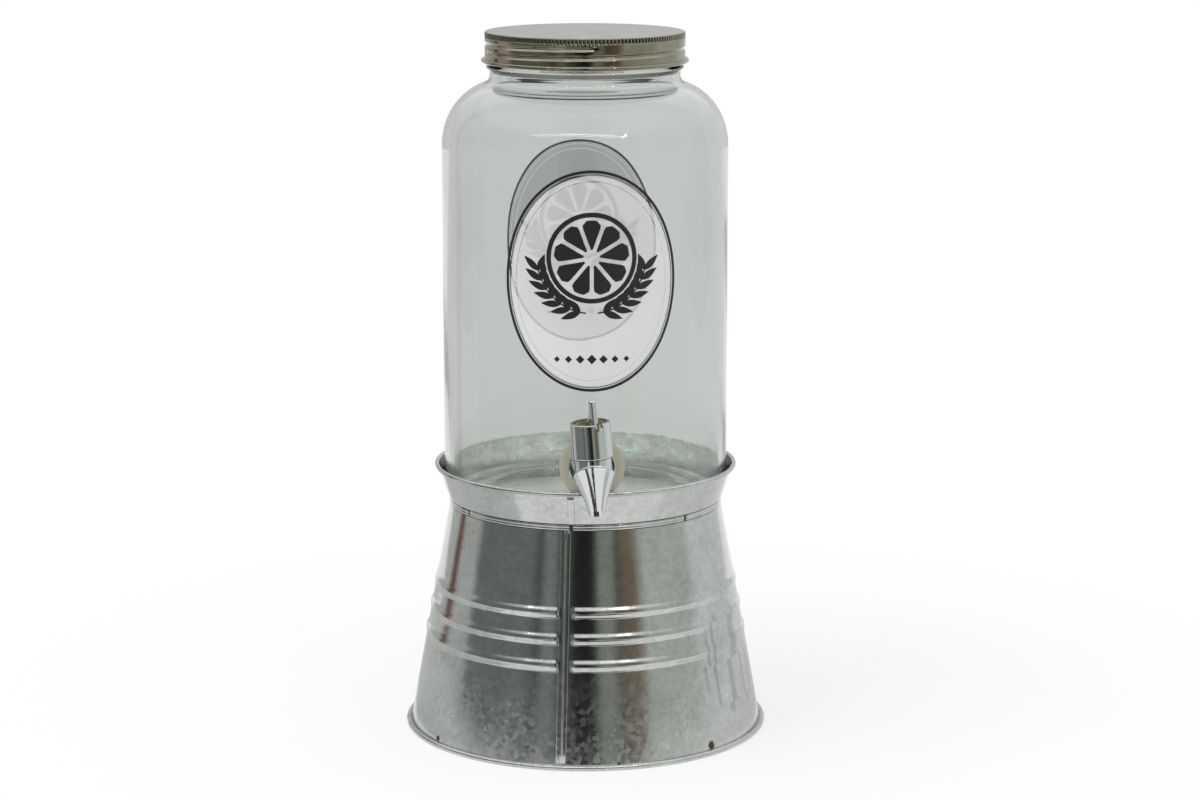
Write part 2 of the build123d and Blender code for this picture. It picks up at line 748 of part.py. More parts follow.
nodes = {
    "stand_skirt": stand_skirt,
    "base_rim_wire": base_rim_wire,
    "tray_floor": tray_floor,
    "tray_ring": tray_ring,
    "tray_rim_wire": tray_rim_wire,
    "crimp_band": crimp_band,
    "jar_glass": jar_glass,
    "lid_shell": lid_shell,
    "lid_liner": lid_liner,
    "outer_gasket": outer_gasket,
    "inner_gasket": inner_gasket,
    "shank_nut": shank_nut,
    "tap_body": tap_body,
    "bonnet_seal": bonnet_seal,
    "tap_bonnet": tap_bonnet,
    "stem_gland": stem_gland,
    "stem_oring": stem_oring,
    "valve_stem": valve_stem,
    "valve_plug": valve_plug,
    "valve_spring": valve_spring,
    "lever_pin": lever_pin,
    "tap_lever": tap_lever,
}


def main():
    """Write one file for each piece."""
    os.makedirs("parts", exist_ok=True)
    for name, make in nodes.items():
        export_step(make(), f"parts/{name}.step")


if __name__ == "__main__":
    main()
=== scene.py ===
"""Looks of a glass drink dispenser with a lever tap on a galvanised stand, around its packed CAD frame."""

import math

import bpy
from bpy.props import FloatProperty, FloatVectorProperty, IntProperty
from mathutils import Euler, Matrix, Vector


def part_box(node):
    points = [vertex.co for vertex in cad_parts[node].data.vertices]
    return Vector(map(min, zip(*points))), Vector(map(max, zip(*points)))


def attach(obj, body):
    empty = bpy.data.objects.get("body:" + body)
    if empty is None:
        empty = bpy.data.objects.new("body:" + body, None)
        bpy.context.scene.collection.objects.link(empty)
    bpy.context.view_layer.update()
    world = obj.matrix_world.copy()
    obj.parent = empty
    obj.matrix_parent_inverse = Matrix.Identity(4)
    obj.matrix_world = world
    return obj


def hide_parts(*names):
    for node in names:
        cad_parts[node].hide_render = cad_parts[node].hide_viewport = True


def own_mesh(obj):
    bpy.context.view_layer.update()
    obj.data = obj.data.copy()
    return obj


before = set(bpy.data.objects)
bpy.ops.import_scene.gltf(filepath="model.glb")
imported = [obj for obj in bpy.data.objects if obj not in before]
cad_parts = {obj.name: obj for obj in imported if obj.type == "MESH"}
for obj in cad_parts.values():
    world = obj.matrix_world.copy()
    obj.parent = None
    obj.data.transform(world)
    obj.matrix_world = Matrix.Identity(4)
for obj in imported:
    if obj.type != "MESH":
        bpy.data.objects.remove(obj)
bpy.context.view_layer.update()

bl_info = {
    "name": "Drink dispenser looks",
    "version": (1, 0, 0),
    "blender": (4, 5, 0),
    "location": "View3D > Sidebar > Dispenser",
    "description": "Builds the visible pieces and finishes of a jar dispenser around its CAD frame",
    "category": "Object",
}

MM = 0.001
TURN = 2 * math.pi

stand_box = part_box("stand_skirt")
ring_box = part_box("tray_ring")
band_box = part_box("crimp_band")
jar_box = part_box("jar_glass")
lid_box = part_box("lid_shell")


def linear(code):
    """Linear RGBA of an sRGB hex colour."""
    channels = []
    for start in (1, 3, 5):
        value = int(code[start:start + 2], 16) / 255
        channels.append(value / 12.92 if value <= 0.04045 else ((value + 0.055) / 1.055) ** 2.4)
    return (*channels, 1.0)


def length(label, text, default):
    """Length property in metres."""
    return FloatProperty(
        name=label, description=text, default=default, precision=5, unit="LENGTH", subtype="DISTANCE"
    )


def angle(label, text, degrees):
    """Angle property with its default in degrees."""
    return FloatProperty(
        name=label, description=text, default=math.radians(degrees), subtype="ANGLE", unit="ROTATION"
    )


def colour(label, text, code):
    """Colour property with its default as an sRGB hex value."""
    return FloatVectorProperty(
        name=label, description=text, default=linear(code), size=4, subtype="COLOR", min=0, max=1
    )


class StandSettings(bpy.types.PropertyGroup):
    """Seamed sheet cone with its tray."""

    sheet: length("Sheet", "Thickness of the zinc-coated sheet", 0.6 * MM)
    foot_radius: length("Foot radius", "Outside of the rolled base edge", stand_box[1].x)
    roll_radius: length("Base roll", "Radius of the rolled base edge", 1.7 * MM)
    roll_height: length("Base roll height", "Middle of the rolled base edge above the floor", 1.4 * MM)
    top_height: length("Top", "Height of the collar under the tray", stand_box[1].z)
    collar_radius: length("Collar radius", "Outside of the collar under the tray", 77.1 * MM)
    collar_height: length("Collar height", "Height of that collar", 2.5 * MM)
    shoulder_width: length("Shoulder width", "Step out from the collar to the cone", 1.0 * MM)
    shoulder_drop: length("Shoulder drop", "Height of that step", 0.5 * MM)
    bead_heights: FloatVectorProperty(
        name="Beads", description="Heights of the pressed beads", size=3, unit="LENGTH",
        default=(57 * MM, 71.5 * MM, 86 * MM),
    )
    bead_width: length("Bead width", "Height of one bead on the cone", 8.2 * MM)
    bead_proud: length("Bead proud", "How far a bead stands out", 0.9 * MM)
    bead_fade: length("Bead run-out", "Length over which a bead dies out beside the seam", 4.2 * MM)
    seam_azimuth: angle("Seam place", "Lock seam's place from the tap's side", -9.8)
    seam_width: length("Seam width", "Width of the folded strip", 3.3 * MM)
    seam_proud: length("Seam proud", "How far the folded strip stands out", 0.8 * MM)
    unevenness: length("Unevenness", "How far the rolled sheet strays from a true cone", 0.16 * MM)
    tray_radius: length("Tray radius", "Inside of the tray wall at its foot", 78.17 * MM)
    tray_flare: FloatProperty(
        name="Tray flare", description="Widening of the tray wall per height", default=0.33
    )
    tray_roll: length("Tray roll", "Radius of the rolled tray rim", 1.3 * MM)
    lap_azimuth: angle("Lap place", "Tray lap's place from the tap's side", -8.1)
    lap_width: length("Lap width", "Width of the lapped strip", 3.8 * MM)
    slit_count: IntProperty(name="Slits", description="Slits pressed round the band", default=7)
    slit_azimuth: angle("Slit place", "First slit's place from the tap's side", -8.3)
    slit_width: length("Slit width", "Width of one upright slit", 1.9 * MM)
    zinc: colour("Zinc", "Bright zinc", "#CDCFCD")
    zinc_dull: colour("Dull zinc", "Weathered zinc", "#A9ADAA")
    # Painted light: zinc painted paler inside the tray to brighten it
    zinc_painted_light_inside: colour("Wetted zinc", "Zinc inside the tray", "#F0F5F0")
    stain: colour("Stain", "Stained zinc", "#7C8A8C")
    # Rust at the base edge; in the band's slits the same brown is painted shade
    rust_and_slit_shade: colour("Rust", "Rust at the base edge and in the slits", "#4A3526")


class JarSettings(bpy.types.PropertyGroup):
    """Pressed glass jar."""

    radius: length("Radius", "Outside of the wall", jar_box[1].x)
    foot: length("Foot", "Height of the foot", jar_box[0].z)
    mouth: length("Mouth", "Height of the lip", jar_box[1].z)
    wall: length("Wall", "Glass thickness", 4.5 * MM)
    heel_radius: length("Heel", "Radius between wall and foot", 16 * MM)
    foot_width: length("Foot ring", "Width of the ring it stands on", 7 * MM)
    push_up: length("Push-up", "Rise of the middle of the bottom", 4 * MM)
    shoulder_radius: length("Shoulder", "Radius of the shoulder", 36 * MM)
    shoulder_ease: length("Shoulder ease", "Run above and below its foot in which its bend sets in", 8 * MM)
    fillet_radius: length("Neck fillet", "Radius between shoulder and neck", 4.5 * MM)
    neck_radius: length("Neck", "Outside of the neck", 53.8 * MM)
    finish_height: length("Finish", "Height of the screw finish", 23 * MM)
    lip_radius: length("Lip", "Rounding of the lip", 1.2 * MM)
    bead_height: length("Bead height", "Transfer bead above the neck's foot", 4.9 * MM)
    bead_proud: length("Bead proud", "How far the transfer bead stands out", 1.9 * MM)
    bead_half_width: length("Bead half width", "Half the height of the transfer bead", 2.7 * MM)
    thread_pitch: length("Pitch", "Pitch of the screw thread", 5.08 * MM)
    thread_proud: length("Thread proud", "How far the thread stands out", 1.9 * MM)
    thread_radius: length("Thread radius", "Radius of the thread's ridge", 1.6 * MM)
    thread_drop: length("Thread drop", "Thread below the lip on the right side", 5.2 * MM)
    thread_start: angle("Thread start", "Where the thread begins, from the right side", -270)
    thread_turn: angle("Thread turn", "How far the thread winds", 450)
    ripple: length("Ripple", "Unevenness of the inner wall", 0.12 * MM)
    tap_height: length("Tap height", "Middle of the tap's hole", 167.85 * MM)
    tap_hole: length("Tap hole", "Radius of the tap's hole", 8.4 * MM)
    glass: colour("Glass", "Tint of the glass surface", "#F6F8F6")
    glass_depth: colour("Glass depth", "Colour of thick glass", "#CDD3CD")
    ink: colour("Ink", "Fired black ink", "#1B1C1C")
    frost: colour("Frost", "Fired white frost", "#F3F5F3")
    print_height: length("Print height", "Middle of the printed medallion", 271 * MM)
    print_half_width: length("Print half width", "Half the medallion's width", 49 * MM)
    print_half_height: length("Print half height", "Half the medallion's height", 61 * MM)


class LidSettings(bpy.types.PropertyGroup):
    """Stamped tinplate screw lid."""

    sheet: length("Sheet", "Thickness of the tinplate", 0.4 * MM)
    top: length("Top", "Height of the lid's top", lid_box[1].z)
    foot: length("Foot", "Height of the curled edge", lid_box[0].z)
    radius: length("Radius", "Outside of the lid's side", 56.5 * MM)
    corner_radius: length("Corner", "Rounding of the top edge", 0.9 * MM)
    curl_radius: length("Curl", "Radius of the curled edge", 1.25 * MM)
    knurl_count: IntProperty(name="Knurls", description="Teeth of the knurl round the lid", default=165)
    knurl_depth: length("Knurl depth", "Depth of the knurl", 0.7 * MM)
    knurl_height: length("Knurl height", "Height of the knurl", 3.2 * MM)
    groove_depth: length("Groove depth", "Depth of the rolled thread", 0.95 * MM)
    groove_width: length("Groove width", "Width of the rolled thread", 3.0 * MM)
    groove_start: angle("Groove start", "Where the rolled thread begins, from the right side", -172)
    groove_turn: angle("Groove turn", "How far the rolled thread winds", 450)
    groove_height: length("Groove height", "Rolled thread's height on the right side", 391.36 * MM)
    tin: colour("Tin", "Bright tin", "#A49E8E")
    tin_dull: colour("Dull tin", "Handled tin", "#8C8678")
    # Painted shade: dark tin between the knurl's teeth, standing in for the shade in its valleys
    knurl_shade: colour("Grime", "Tin between the knurl's teeth", "#4E4A40")
    liner: colour("Liner", "Sealing disc", "#E6E1D3")


class TapSettings(bpy.types.PropertyGroup):
    """Plated lever tap with its valve."""

    reach: length("Reach", "Valve axis in front of the glass", 25 * MM)
    roll: angle("Roll", "How far the tap leans on its shank", -4.3)
    lever_turn: angle("Lever turn", "How far the lever is turned on the valve", 24)
    cup_radius: length("Cup radius", "Inside of the bonnet's open top", 9.4 * MM)
    cup_floor: length("Cup floor", "Floor of the bonnet's open top above the shank", 24.2 * MM)
    bonnet_top: length("Bonnet top", "Top of the bonnet above the shank", 30.5 * MM)
    spring_foot: length("Spring foot", "Foot of the spring above the shank", 12.0 * MM)
    spring_top: length("Spring top", "Top of the spring above the shank", 22.2 * MM)
    spring_radius: length("Spring radius", "Middle radius of the spring", 4.2 * MM)
    spring_wire: length("Spring wire", "Radius of the spring's wire", 0.4 * MM)
    spring_turns: FloatProperty(name="Spring turns", description="Turns of the spring", default=5)
    valve_travel: length("Valve travel", "How far the stem rises", 4.0 * MM)
    chrome: colour("Chrome", "Chrome plate", "#D6D8DA")
    cream: colour("Bare plastic", "Unplated plastic inside the bonnet", "#CFC59A")
    silicone: colour("Silicone", "Washer between tap and glass", "#CFCBB8")
    rubber: colour("Rubber", "Valve plug and rings", "#1D1D1E")
    acetal: colour("Acetal", "Natural acetal bush", "#ECEAE2")


class StageSettings(bpy.types.PropertyGroup):
    """Floor, light and camera."""

    floor: colour("Floor", "Pale floor", "#F6F6F4")
    camera_place: FloatVectorProperty(
        name="Camera", description="Place of the camera", size=3, unit="LENGTH",
        default=(-0.0782, -1.7715, 0.542),
    )
    camera_pitch: angle("Pitch", "Camera's look down", 11.25)
    camera_yaw: angle("Yaw", "Camera's turn about the upright", -2.8)
    lens: FloatProperty(
        name="Lens", description="Focal length on a 36 mm frame", default=94.34, subtype="DISTANCE_CAMERA"
    )


def smooth_step(value, low, high):
    """Zero below low, one above high, smooth between."""
    share = min(1.0, max(0.0, (value - low) / (high - low)))
    return share * share * (3 - 2 * share)


def hill(share):
    """One in the middle, falling smoothly to zero at a share of one on both sides."""
    return 0.5 + 0.5 * math.cos(math.pi * min(1.0, abs(share)))


def steps(start, end, count):
    """Even steps from start to end, both included."""
    return [start + (end - start) * index / (count - 1) for index in range(count)]


def round_steps(count):
    """Even steps of a full turn."""
    return [TURN * index / count for index in range(count)]


def arc(centre, radius, start, end, count):
    """Points of an arc in the turned half plane, angles in degrees from outwards to up."""
    turns = [math.radians(value) for value in steps(start, end, count)]
    return [(centre[0] + radius * math.cos(turn), centre[1] + radius * math.sin(turn)) for turn in turns]


def around(azimuth, radius, height):
    """Point at an azimuth from the tap's side, positive to the right."""
    return (radius * math.sin(azimuth), -radius * math.cos(azimuth), height)


def new_object(name, points, faces, finish=None):
    """Mesh object in the scene, with its finish."""
    mesh = bpy.data.meshes.new(name)
    mesh.from_pydata(points, [], faces)
    if finish:
        mesh.materials.append(finish)
    made = bpy.data.objects.new(name, mesh)
    bpy.context.scene.collection.objects.link(made)
    return made


def add_piece(name, points, faces, body, slot, finish, sharp=35):
    """Mesh piece that rides on a body, with its finish, smooth up to a sharp angle in degrees."""
    piece = new_object(name, points, faces, finish)
    piece.data.validate()
    piece.data.shade_smooth()
    piece.data.set_sharp_from_angle(angle=math.radians(sharp))
    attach(piece, body)
    return piece


def cover_faces(piece, finish, chosen):
    """Give a second finish to the faces that a test chooses."""
    piece.data.materials.append(finish)
    for face in piece.data.polygons:
        if chosen(face):
            face.material_index = 1


def dress(finish, *nodes):
    """Give CAD nodes their finish."""
    for node in nodes:
        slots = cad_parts[node].data.materials
        slots.clear()
        slots.append(finish)


def skin(columns, rows, point, poles=None):
    """Points and faces of a closed skin, columns round the axis. Rows meet again, or end in two poles."""
    points = [point(column, row) for row in rows for column in columns]
    width = len(columns)
    faces = []
    pairs = len(rows) if poles is None else len(rows) - 1
    for index in range(pairs):
        low = index * width
        high = (index + 1) % len(rows) * width
        for left in range(width):
            right = (left + 1) % width
            faces.append((low + left, low + right, high + right, high + left))
    if poles is not None:
        first = len(points)
        points += [(0.0, 0.0, height) for height in poles]
        last_row = (len(rows) - 1) * width
        for left in range(width):
            right = (left + 1) % width
            faces.append((first, right, left))
            faces.append((first + 1, last_row + left, last_row + right))
    return points, faces


def add_node(tree, kind, inputs=None, **settings):
    """Node with its settings. Its inputs take values, sockets, or nodes, which give their first output."""
    made = tree.nodes.new("ShaderNode" + kind)
    for name, value in settings.items():
        setattr(made, name, value)
    for name, value in (inputs or {}).items():
        if isinstance(value, bpy.types.Node):
            value = value.outputs[0]
        if isinstance(value, bpy.types.NodeSocket):
            tree.links.new(value, made.inputs[name])
        else:
            made.inputs[name].default_value = value
    return made


def new_finish(name):
    """Empty node material, its tree, and the place on the piece that patterns are drawn by."""
    finish = bpy.data.materials.new(name)
    finish.use_nodes = True
    tree = finish.node_tree
    tree.nodes.clear()
    return finish, tree, add_node(tree, "TexCoord").outputs["Object"]


def shaded(tint, share):
    """Darker version of a colour, or a paler one for a share above one."""
    return (tint[0] * share, tint[1] * share, tint[2] * share, 1.0)


def stand_spot(azimuth, radius, height):
    """Point on the stand from degrees and millimetres."""
    return Vector(around(math.radians(azimuth), radius, height)) * MM


# Chips in the zinc at the base edge: azimuth in degrees, then radius, height and size in millimetres
RUST_CHIPS = ((42, 100.8, 5, 2.4), (-58.6, 100.9, 4.5, 1.8), (8, 101.2, 3, 1.2))
# Stain on the cone: azimuth in degrees, then radius and height in millimetres
STAIN_PLACE = (62, 93, 48)


def galvanised_steel(wetted_and_painted_light=False):
    """Hot-dip galvanised sheet: cold grey spangles, fine grain, drawn streaks and rust at the foot.

    Towards the foot, handling has dulled it spangle by spangle. Where it is wetted, inside the tray, it is
    more mottled and less sharp in its reflections, and its zinc is painted paler as painted light for the
    dim inside.
    """
    name = "galvanised_steel_wetted_painted_light" if wetted_and_painted_light else "galvanised_steel_hot_dip"
    if name in bpy.data.materials:
        return bpy.data.materials[name]
    stand = bpy.context.scene.dispenser_stand
    bright = stand.zinc_painted_light_inside if wetted_and_painted_light else stand.zinc
    dull = shaded(stand.zinc_painted_light_inside, 0.5) if wetted_and_painted_light else stand.zinc_dull
    least_roughness = 0.13 if wetted_and_painted_light else 0.03
    spangle_size = 2.6 * MM
    grain_size = 0.7 * MM
    streak_size = 3.5 * MM
    streak_stretch = 0.04
    cloud_size = 22 * MM
    handled_top = 78 * MM
    handled_foot = 30 * MM
    made, tree, place = new_finish(name)
    spangle = add_node(tree, "TexVoronoi", {"Vector": place, "Scale": 1 / spangle_size})
    grain = add_node(
        tree, "TexNoise", {"Vector": place, "Scale": 1 / grain_size, "Detail": 3, "Roughness": 0.65}
    )
    upright = add_node(tree, "Mapping", {"Vector": place, "Scale": (1, 1, streak_stretch)})
    streak = add_node(tree, "TexNoise", {"Vector": upright, "Scale": 1 / streak_size, "Detail": 4})
    cloud = add_node(
        tree, "TexNoise", {"Vector": place, "Scale": 1 / cloud_size, "Detail": 6, "Roughness": 0.62}
    )
    cell = add_node(tree, "SeparateColor", {"Color": spangle.outputs["Color"]})
    dulling = add_node(tree, "Math", {0: cell, 1: 0.3, 2: cloud}, operation="MULTIPLY_ADD")
    dulled = add_node(tree, "MapRange", {"Value": dulling, "From Min": 0.35, "From Max": 1.15})
    zinc = add_node(tree, "Mix", {"Factor": dulled, 6: bright, 7: dull}, data_type="RGBA")

    # Rust freckles along the base edge, and a few ragged chips
    rust_foot = 1 * MM
    rust_top = 6 * MM
    freckle_size = 11 * MM
    ragged_edge = 2 * MM
    height = add_node(tree, "SeparateXYZ", {"Vector": place}).outputs["Z"]
    low = add_node(tree, "MapRange", {"Value": height, "From Min": rust_top, "From Max": rust_foot})
    freckle = add_node(tree, "TexNoise", {"Vector": place, "Scale": 1 / freckle_size, "Detail": 4})
    freckled = add_node(tree, "MapRange", {"Value": freckle, "From Min": 0.66, "From Max": 0.76})
    rusty = add_node(tree, "Math", {0: low, 1: freckled}, operation="MULTIPLY")
    for *chip, size in RUST_CHIPS:
        away = add_node(tree, "VectorMath", {0: place, 1: stand_spot(*chip)}, operation="DISTANCE")
        ragged = add_node(
            tree, "Math", {0: grain, 1: ragged_edge, 2: away.outputs["Value"]}, operation="MULTIPLY_ADD"
        )
        edge = size * MM + 0.3 * ragged_edge
        chipped = add_node(
            tree, "MapRange", {"Value": ragged, "From Min": edge + 0.3 * ragged_edge, "From Max": edge}
        )
        rusty = add_node(tree, "Math", {0: rusty, 1: chipped}, operation="MAXIMUM")

    # Stain of narrow upright marks with straight ends
    stain_radius = 30 * MM
    stain_edge = 3 * MM
    mark_unit = 10 * MM
    mark_width = 2.8 * MM
    mark_height = 24 * MM
    away = add_node(tree, "VectorMath", {0: place, 1: stand_spot(*STAIN_PLACE)}, operation="DISTANCE")
    near = add_node(
        tree, "MapRange",
        {"Value": away.outputs["Value"], "From Min": stain_radius + stain_edge, "From Max": stain_radius},
    )
    faced = add_node(tree, "Mapping", {"Vector": place, "Rotation": (0, 0, -math.radians(STAIN_PLACE[0]))})
    flat = add_node(tree, "SeparateXYZ", {"Vector": faced}).outputs
    flattened = add_node(tree, "CombineXYZ", {"X": flat["X"], "Y": flat["Z"]})
    mark = add_node(
        tree, "TexBrick",
        {
            "Vector": flattened, "Color1": (0, 0, 0, 1), "Color2": (1, 1, 1, 1), "Scale": 1 / mark_unit,
            "Mortar Size": 0.0, "Brick Width": mark_width / mark_unit,
            "Row Height": mark_height / mark_unit,
        },
        offset=0.37,
    )
    marked = add_node(
        tree, "MapRange",
        {"Value": mark.outputs["Color"], "From Min": 0.5, "From Max": 0.55, "To Max": 0.42},
    )
    stain = add_node(tree, "Math", {0: near, 1: marked}, operation="MULTIPLY")
    zinc = add_node(tree, "Mix", {"Factor": stain, 6: zinc.outputs[2], 7: stand.stain}, data_type="RGBA")
    base = add_node(tree, "Mix", {"Factor": rusty, 6: zinc.outputs[2], 7: stand.rust_and_slit_shade}, data_type="RGBA")

    streaked = add_node(tree, "Math", {0: streak, 1: 0.06, 2: least_roughness}, operation="MULTIPLY_ADD")
    grained = add_node(tree, "Math", {0: grain, 1: 0.09, 2: streaked}, operation="MULTIPLY_ADD")
    handled = add_node(
        tree, "MapRange",
        {"Value": height, "From Min": handled_top, "From Max": handled_foot, "To Max": 0.15},
    )
    worn = add_node(tree, "Math", {0: handled, 1: cell.outputs[1], 2: grained}, operation="MULTIPLY_ADD")
    roughness = add_node(tree, "Math", {0: rusty, 1: 0.5, 2: worn}, operation="MULTIPLY_ADD")
    metal = add_node(tree, "Math", {0: rusty, 1: -0.85, 2: 1.0}, operation="MULTIPLY_ADD")
    ripple = add_node(tree, "Math", {0: streak, 1: 0.6, 2: grain}, operation="MULTIPLY_ADD")
    bump = add_node(tree, "Bump", {"Height": ripple, "Strength": 0.3, "Distance": 0.05 * MM})
    shader = add_node(
        tree, "BsdfPrincipled",
        {"Base Color": base.outputs[2], "Metallic": metal, "Roughness": roughness, "Normal": bump},
    )
    add_node(tree, "OutputMaterial", {"Surface": shader})
    return made


def tinplate(name, bright, dull):
    """Stamped tinplate: satin warm grey with a fine pebbled grain and handling marks."""
    grain_size = 0.8 * MM
    mark_size = 16 * MM
    made, tree, place = new_finish(name)
    grain = add_node(
        tree, "TexNoise", {"Vector": place, "Scale": 1 / grain_size, "Detail": 2, "Roughness": 0.7}
    )
    mark = add_node(
        tree, "TexNoise", {"Vector": place, "Scale": 1 / mark_size, "Detail": 4, "Roughness": 0.6}
    )
    marked = add_node(tree, "MapRange", {"Value": mark, "From Min": 0.35, "From Max": 0.7})
    base = add_node(tree, "Mix", {"Factor": marked, 6: bright, 7: dull}, data_type="RGBA")
    worn = add_node(tree, "Math", {0: marked, 1: 0.05, 2: 0.06}, operation="MULTIPLY_ADD")
    roughness = add_node(tree, "Math", {0: grain, 1: 0.08, 2: worn}, operation="MULTIPLY_ADD")
    bump = add_node(tree, "Bump", {"Height": grain, "Strength": 0.12, "Distance": 0.05 * MM})
    shader = add_node(
        tree, "BsdfPrincipled",
        {"Base Color": base.outputs[2], "Metallic": 1.0, "Roughness": roughness, "Normal": bump},
    )
    add_node(tree, "OutputMaterial", {"Surface": shader})
    return made


def chrome_plate():
    """Chrome-plated moulding: mirror bright, with fine wiping marks that catch the light."""
    tap = bpy.context.scene.dispenser_tap
    wipe_size = 6 * MM
    made, tree, place = new_finish("chrome_plated_moulding")
    wipe = add_node(
        tree, "TexNoise", {"Vector": place, "Scale": 1 / wipe_size, "Detail": 5, "Roughness": 0.6}
    )
    roughness = add_node(
        tree, "MapRange",
        {"Value": wipe, "From Min": 0.3, "From Max": 0.75, "To Min": 0.04, "To Max": 0.13},
    )
    bump = add_node(tree, "Bump", {"Height": wipe, "Strength": 0.12, "Distance": 0.08 * MM})
    shader = add_node(
        tree, "BsdfPrincipled",
        {"Base Color": tap.chrome, "Metallic": 1.0, "Roughness": roughness, "Normal": bump},
    )
    add_node(tree, "OutputMaterial", {"Surface": shader})
    return made


def soda_lime_glass():
    """Pressed soda-lime glass: clear with a grey-green depth, and a fire-polished skin a little uneven."""
    jar = bpy.context.scene.dispenser_jar
    wave_size = 14 * MM
    made, tree, place = new_finish("soda_lime_glass_pressed")
    wave = add_node(tree, "TexNoise", {"Vector": place, "Scale": 1 / wave_size, "Detail": 2})
    bump = add_node(tree, "Bump", {"Height": wave, "Strength": 0.02, "Distance": 0.2 * MM})
    shader = add_node(
        tree, "BsdfPrincipled",
        {
            "Base Color": jar.glass, "Roughness": 0.015, "IOR": 1.52,
            "Transmission Weight": 1.0, "Normal": bump,
        },
    )
    depth = add_node(tree, "VolumeAbsorption", {"Color": jar.glass_depth, "Density": 16.0})
    add_node(tree, "OutputMaterial", {"Surface": shader, "Volume": depth})
    return made


def plain_finish(name, tint, shade, grain_size, roughness, strength, extra=None):
    """Moulded or printed finish: a tint that drifts to a shade, with a fine grain in gloss and surface."""
    made, tree, place = new_finish(name)
    drift = 0.06
    grain = add_node(
        tree, "TexNoise", {"Vector": place, "Scale": 1 / grain_size, "Detail": 3, "Roughness": 0.6}
    )
    base = add_node(tree, "Mix", {"Factor": grain, 6: tint, 7: shade}, data_type="RGBA")
    gloss = add_node(
        tree, "MapRange", {"Value": grain, "To Min": roughness - drift, "To Max": roughness + drift}
    )
    bump = add_node(tree, "Bump", {"Height": grain, "Strength": strength, "Distance": 0.05 * MM})
    shader = add_node(
        tree, "BsdfPrincipled",
        {"Base Color": base.outputs[2], "Roughness": gloss, "Normal": bump, **(extra or {})},
    )
    add_node(tree, "OutputMaterial", {"Surface": shader})
    return made


def sheet_wave(azimuth, height):
    """Unevenness of hand-formed sheet, between about -1 and 1."""
    up = height / (130 * MM)
    slow = math.sin(3 * azimuth + 1.3 + 1.1 * up) + 0.7 * math.sin(5 * azimuth - 0.6 - 2.3 * up)
    quick = 0.35 * math.sin(11 * azimuth + 2.2 + 3.1 * up) + 0.18 * math.sin(23 * azimuth - 1.9 * up)
    return (slow + quick) / 2.2


def seam_columns(reach, fine, coarse):
    """Distances from a seam, fine beside it, then shares of the way round to its other side."""
    near = [("near", value) for value in steps(-reach, reach, fine)]
    far = [("far", share) for share in steps(0, 1, coarse)[1:-1]]
    return near + far


def seam_turn(column, seam, reach, radius):
    """Azimuth of a column at a radius, and its distance from the seam's middle."""
    kind, value = column
    edge = reach / radius
    turn = value / radius if kind == "near" else edge + (TURN - 2 * edge) * value
    distance = turn if turn < math.pi else turn - TURN
    return seam + turn, distance * radius


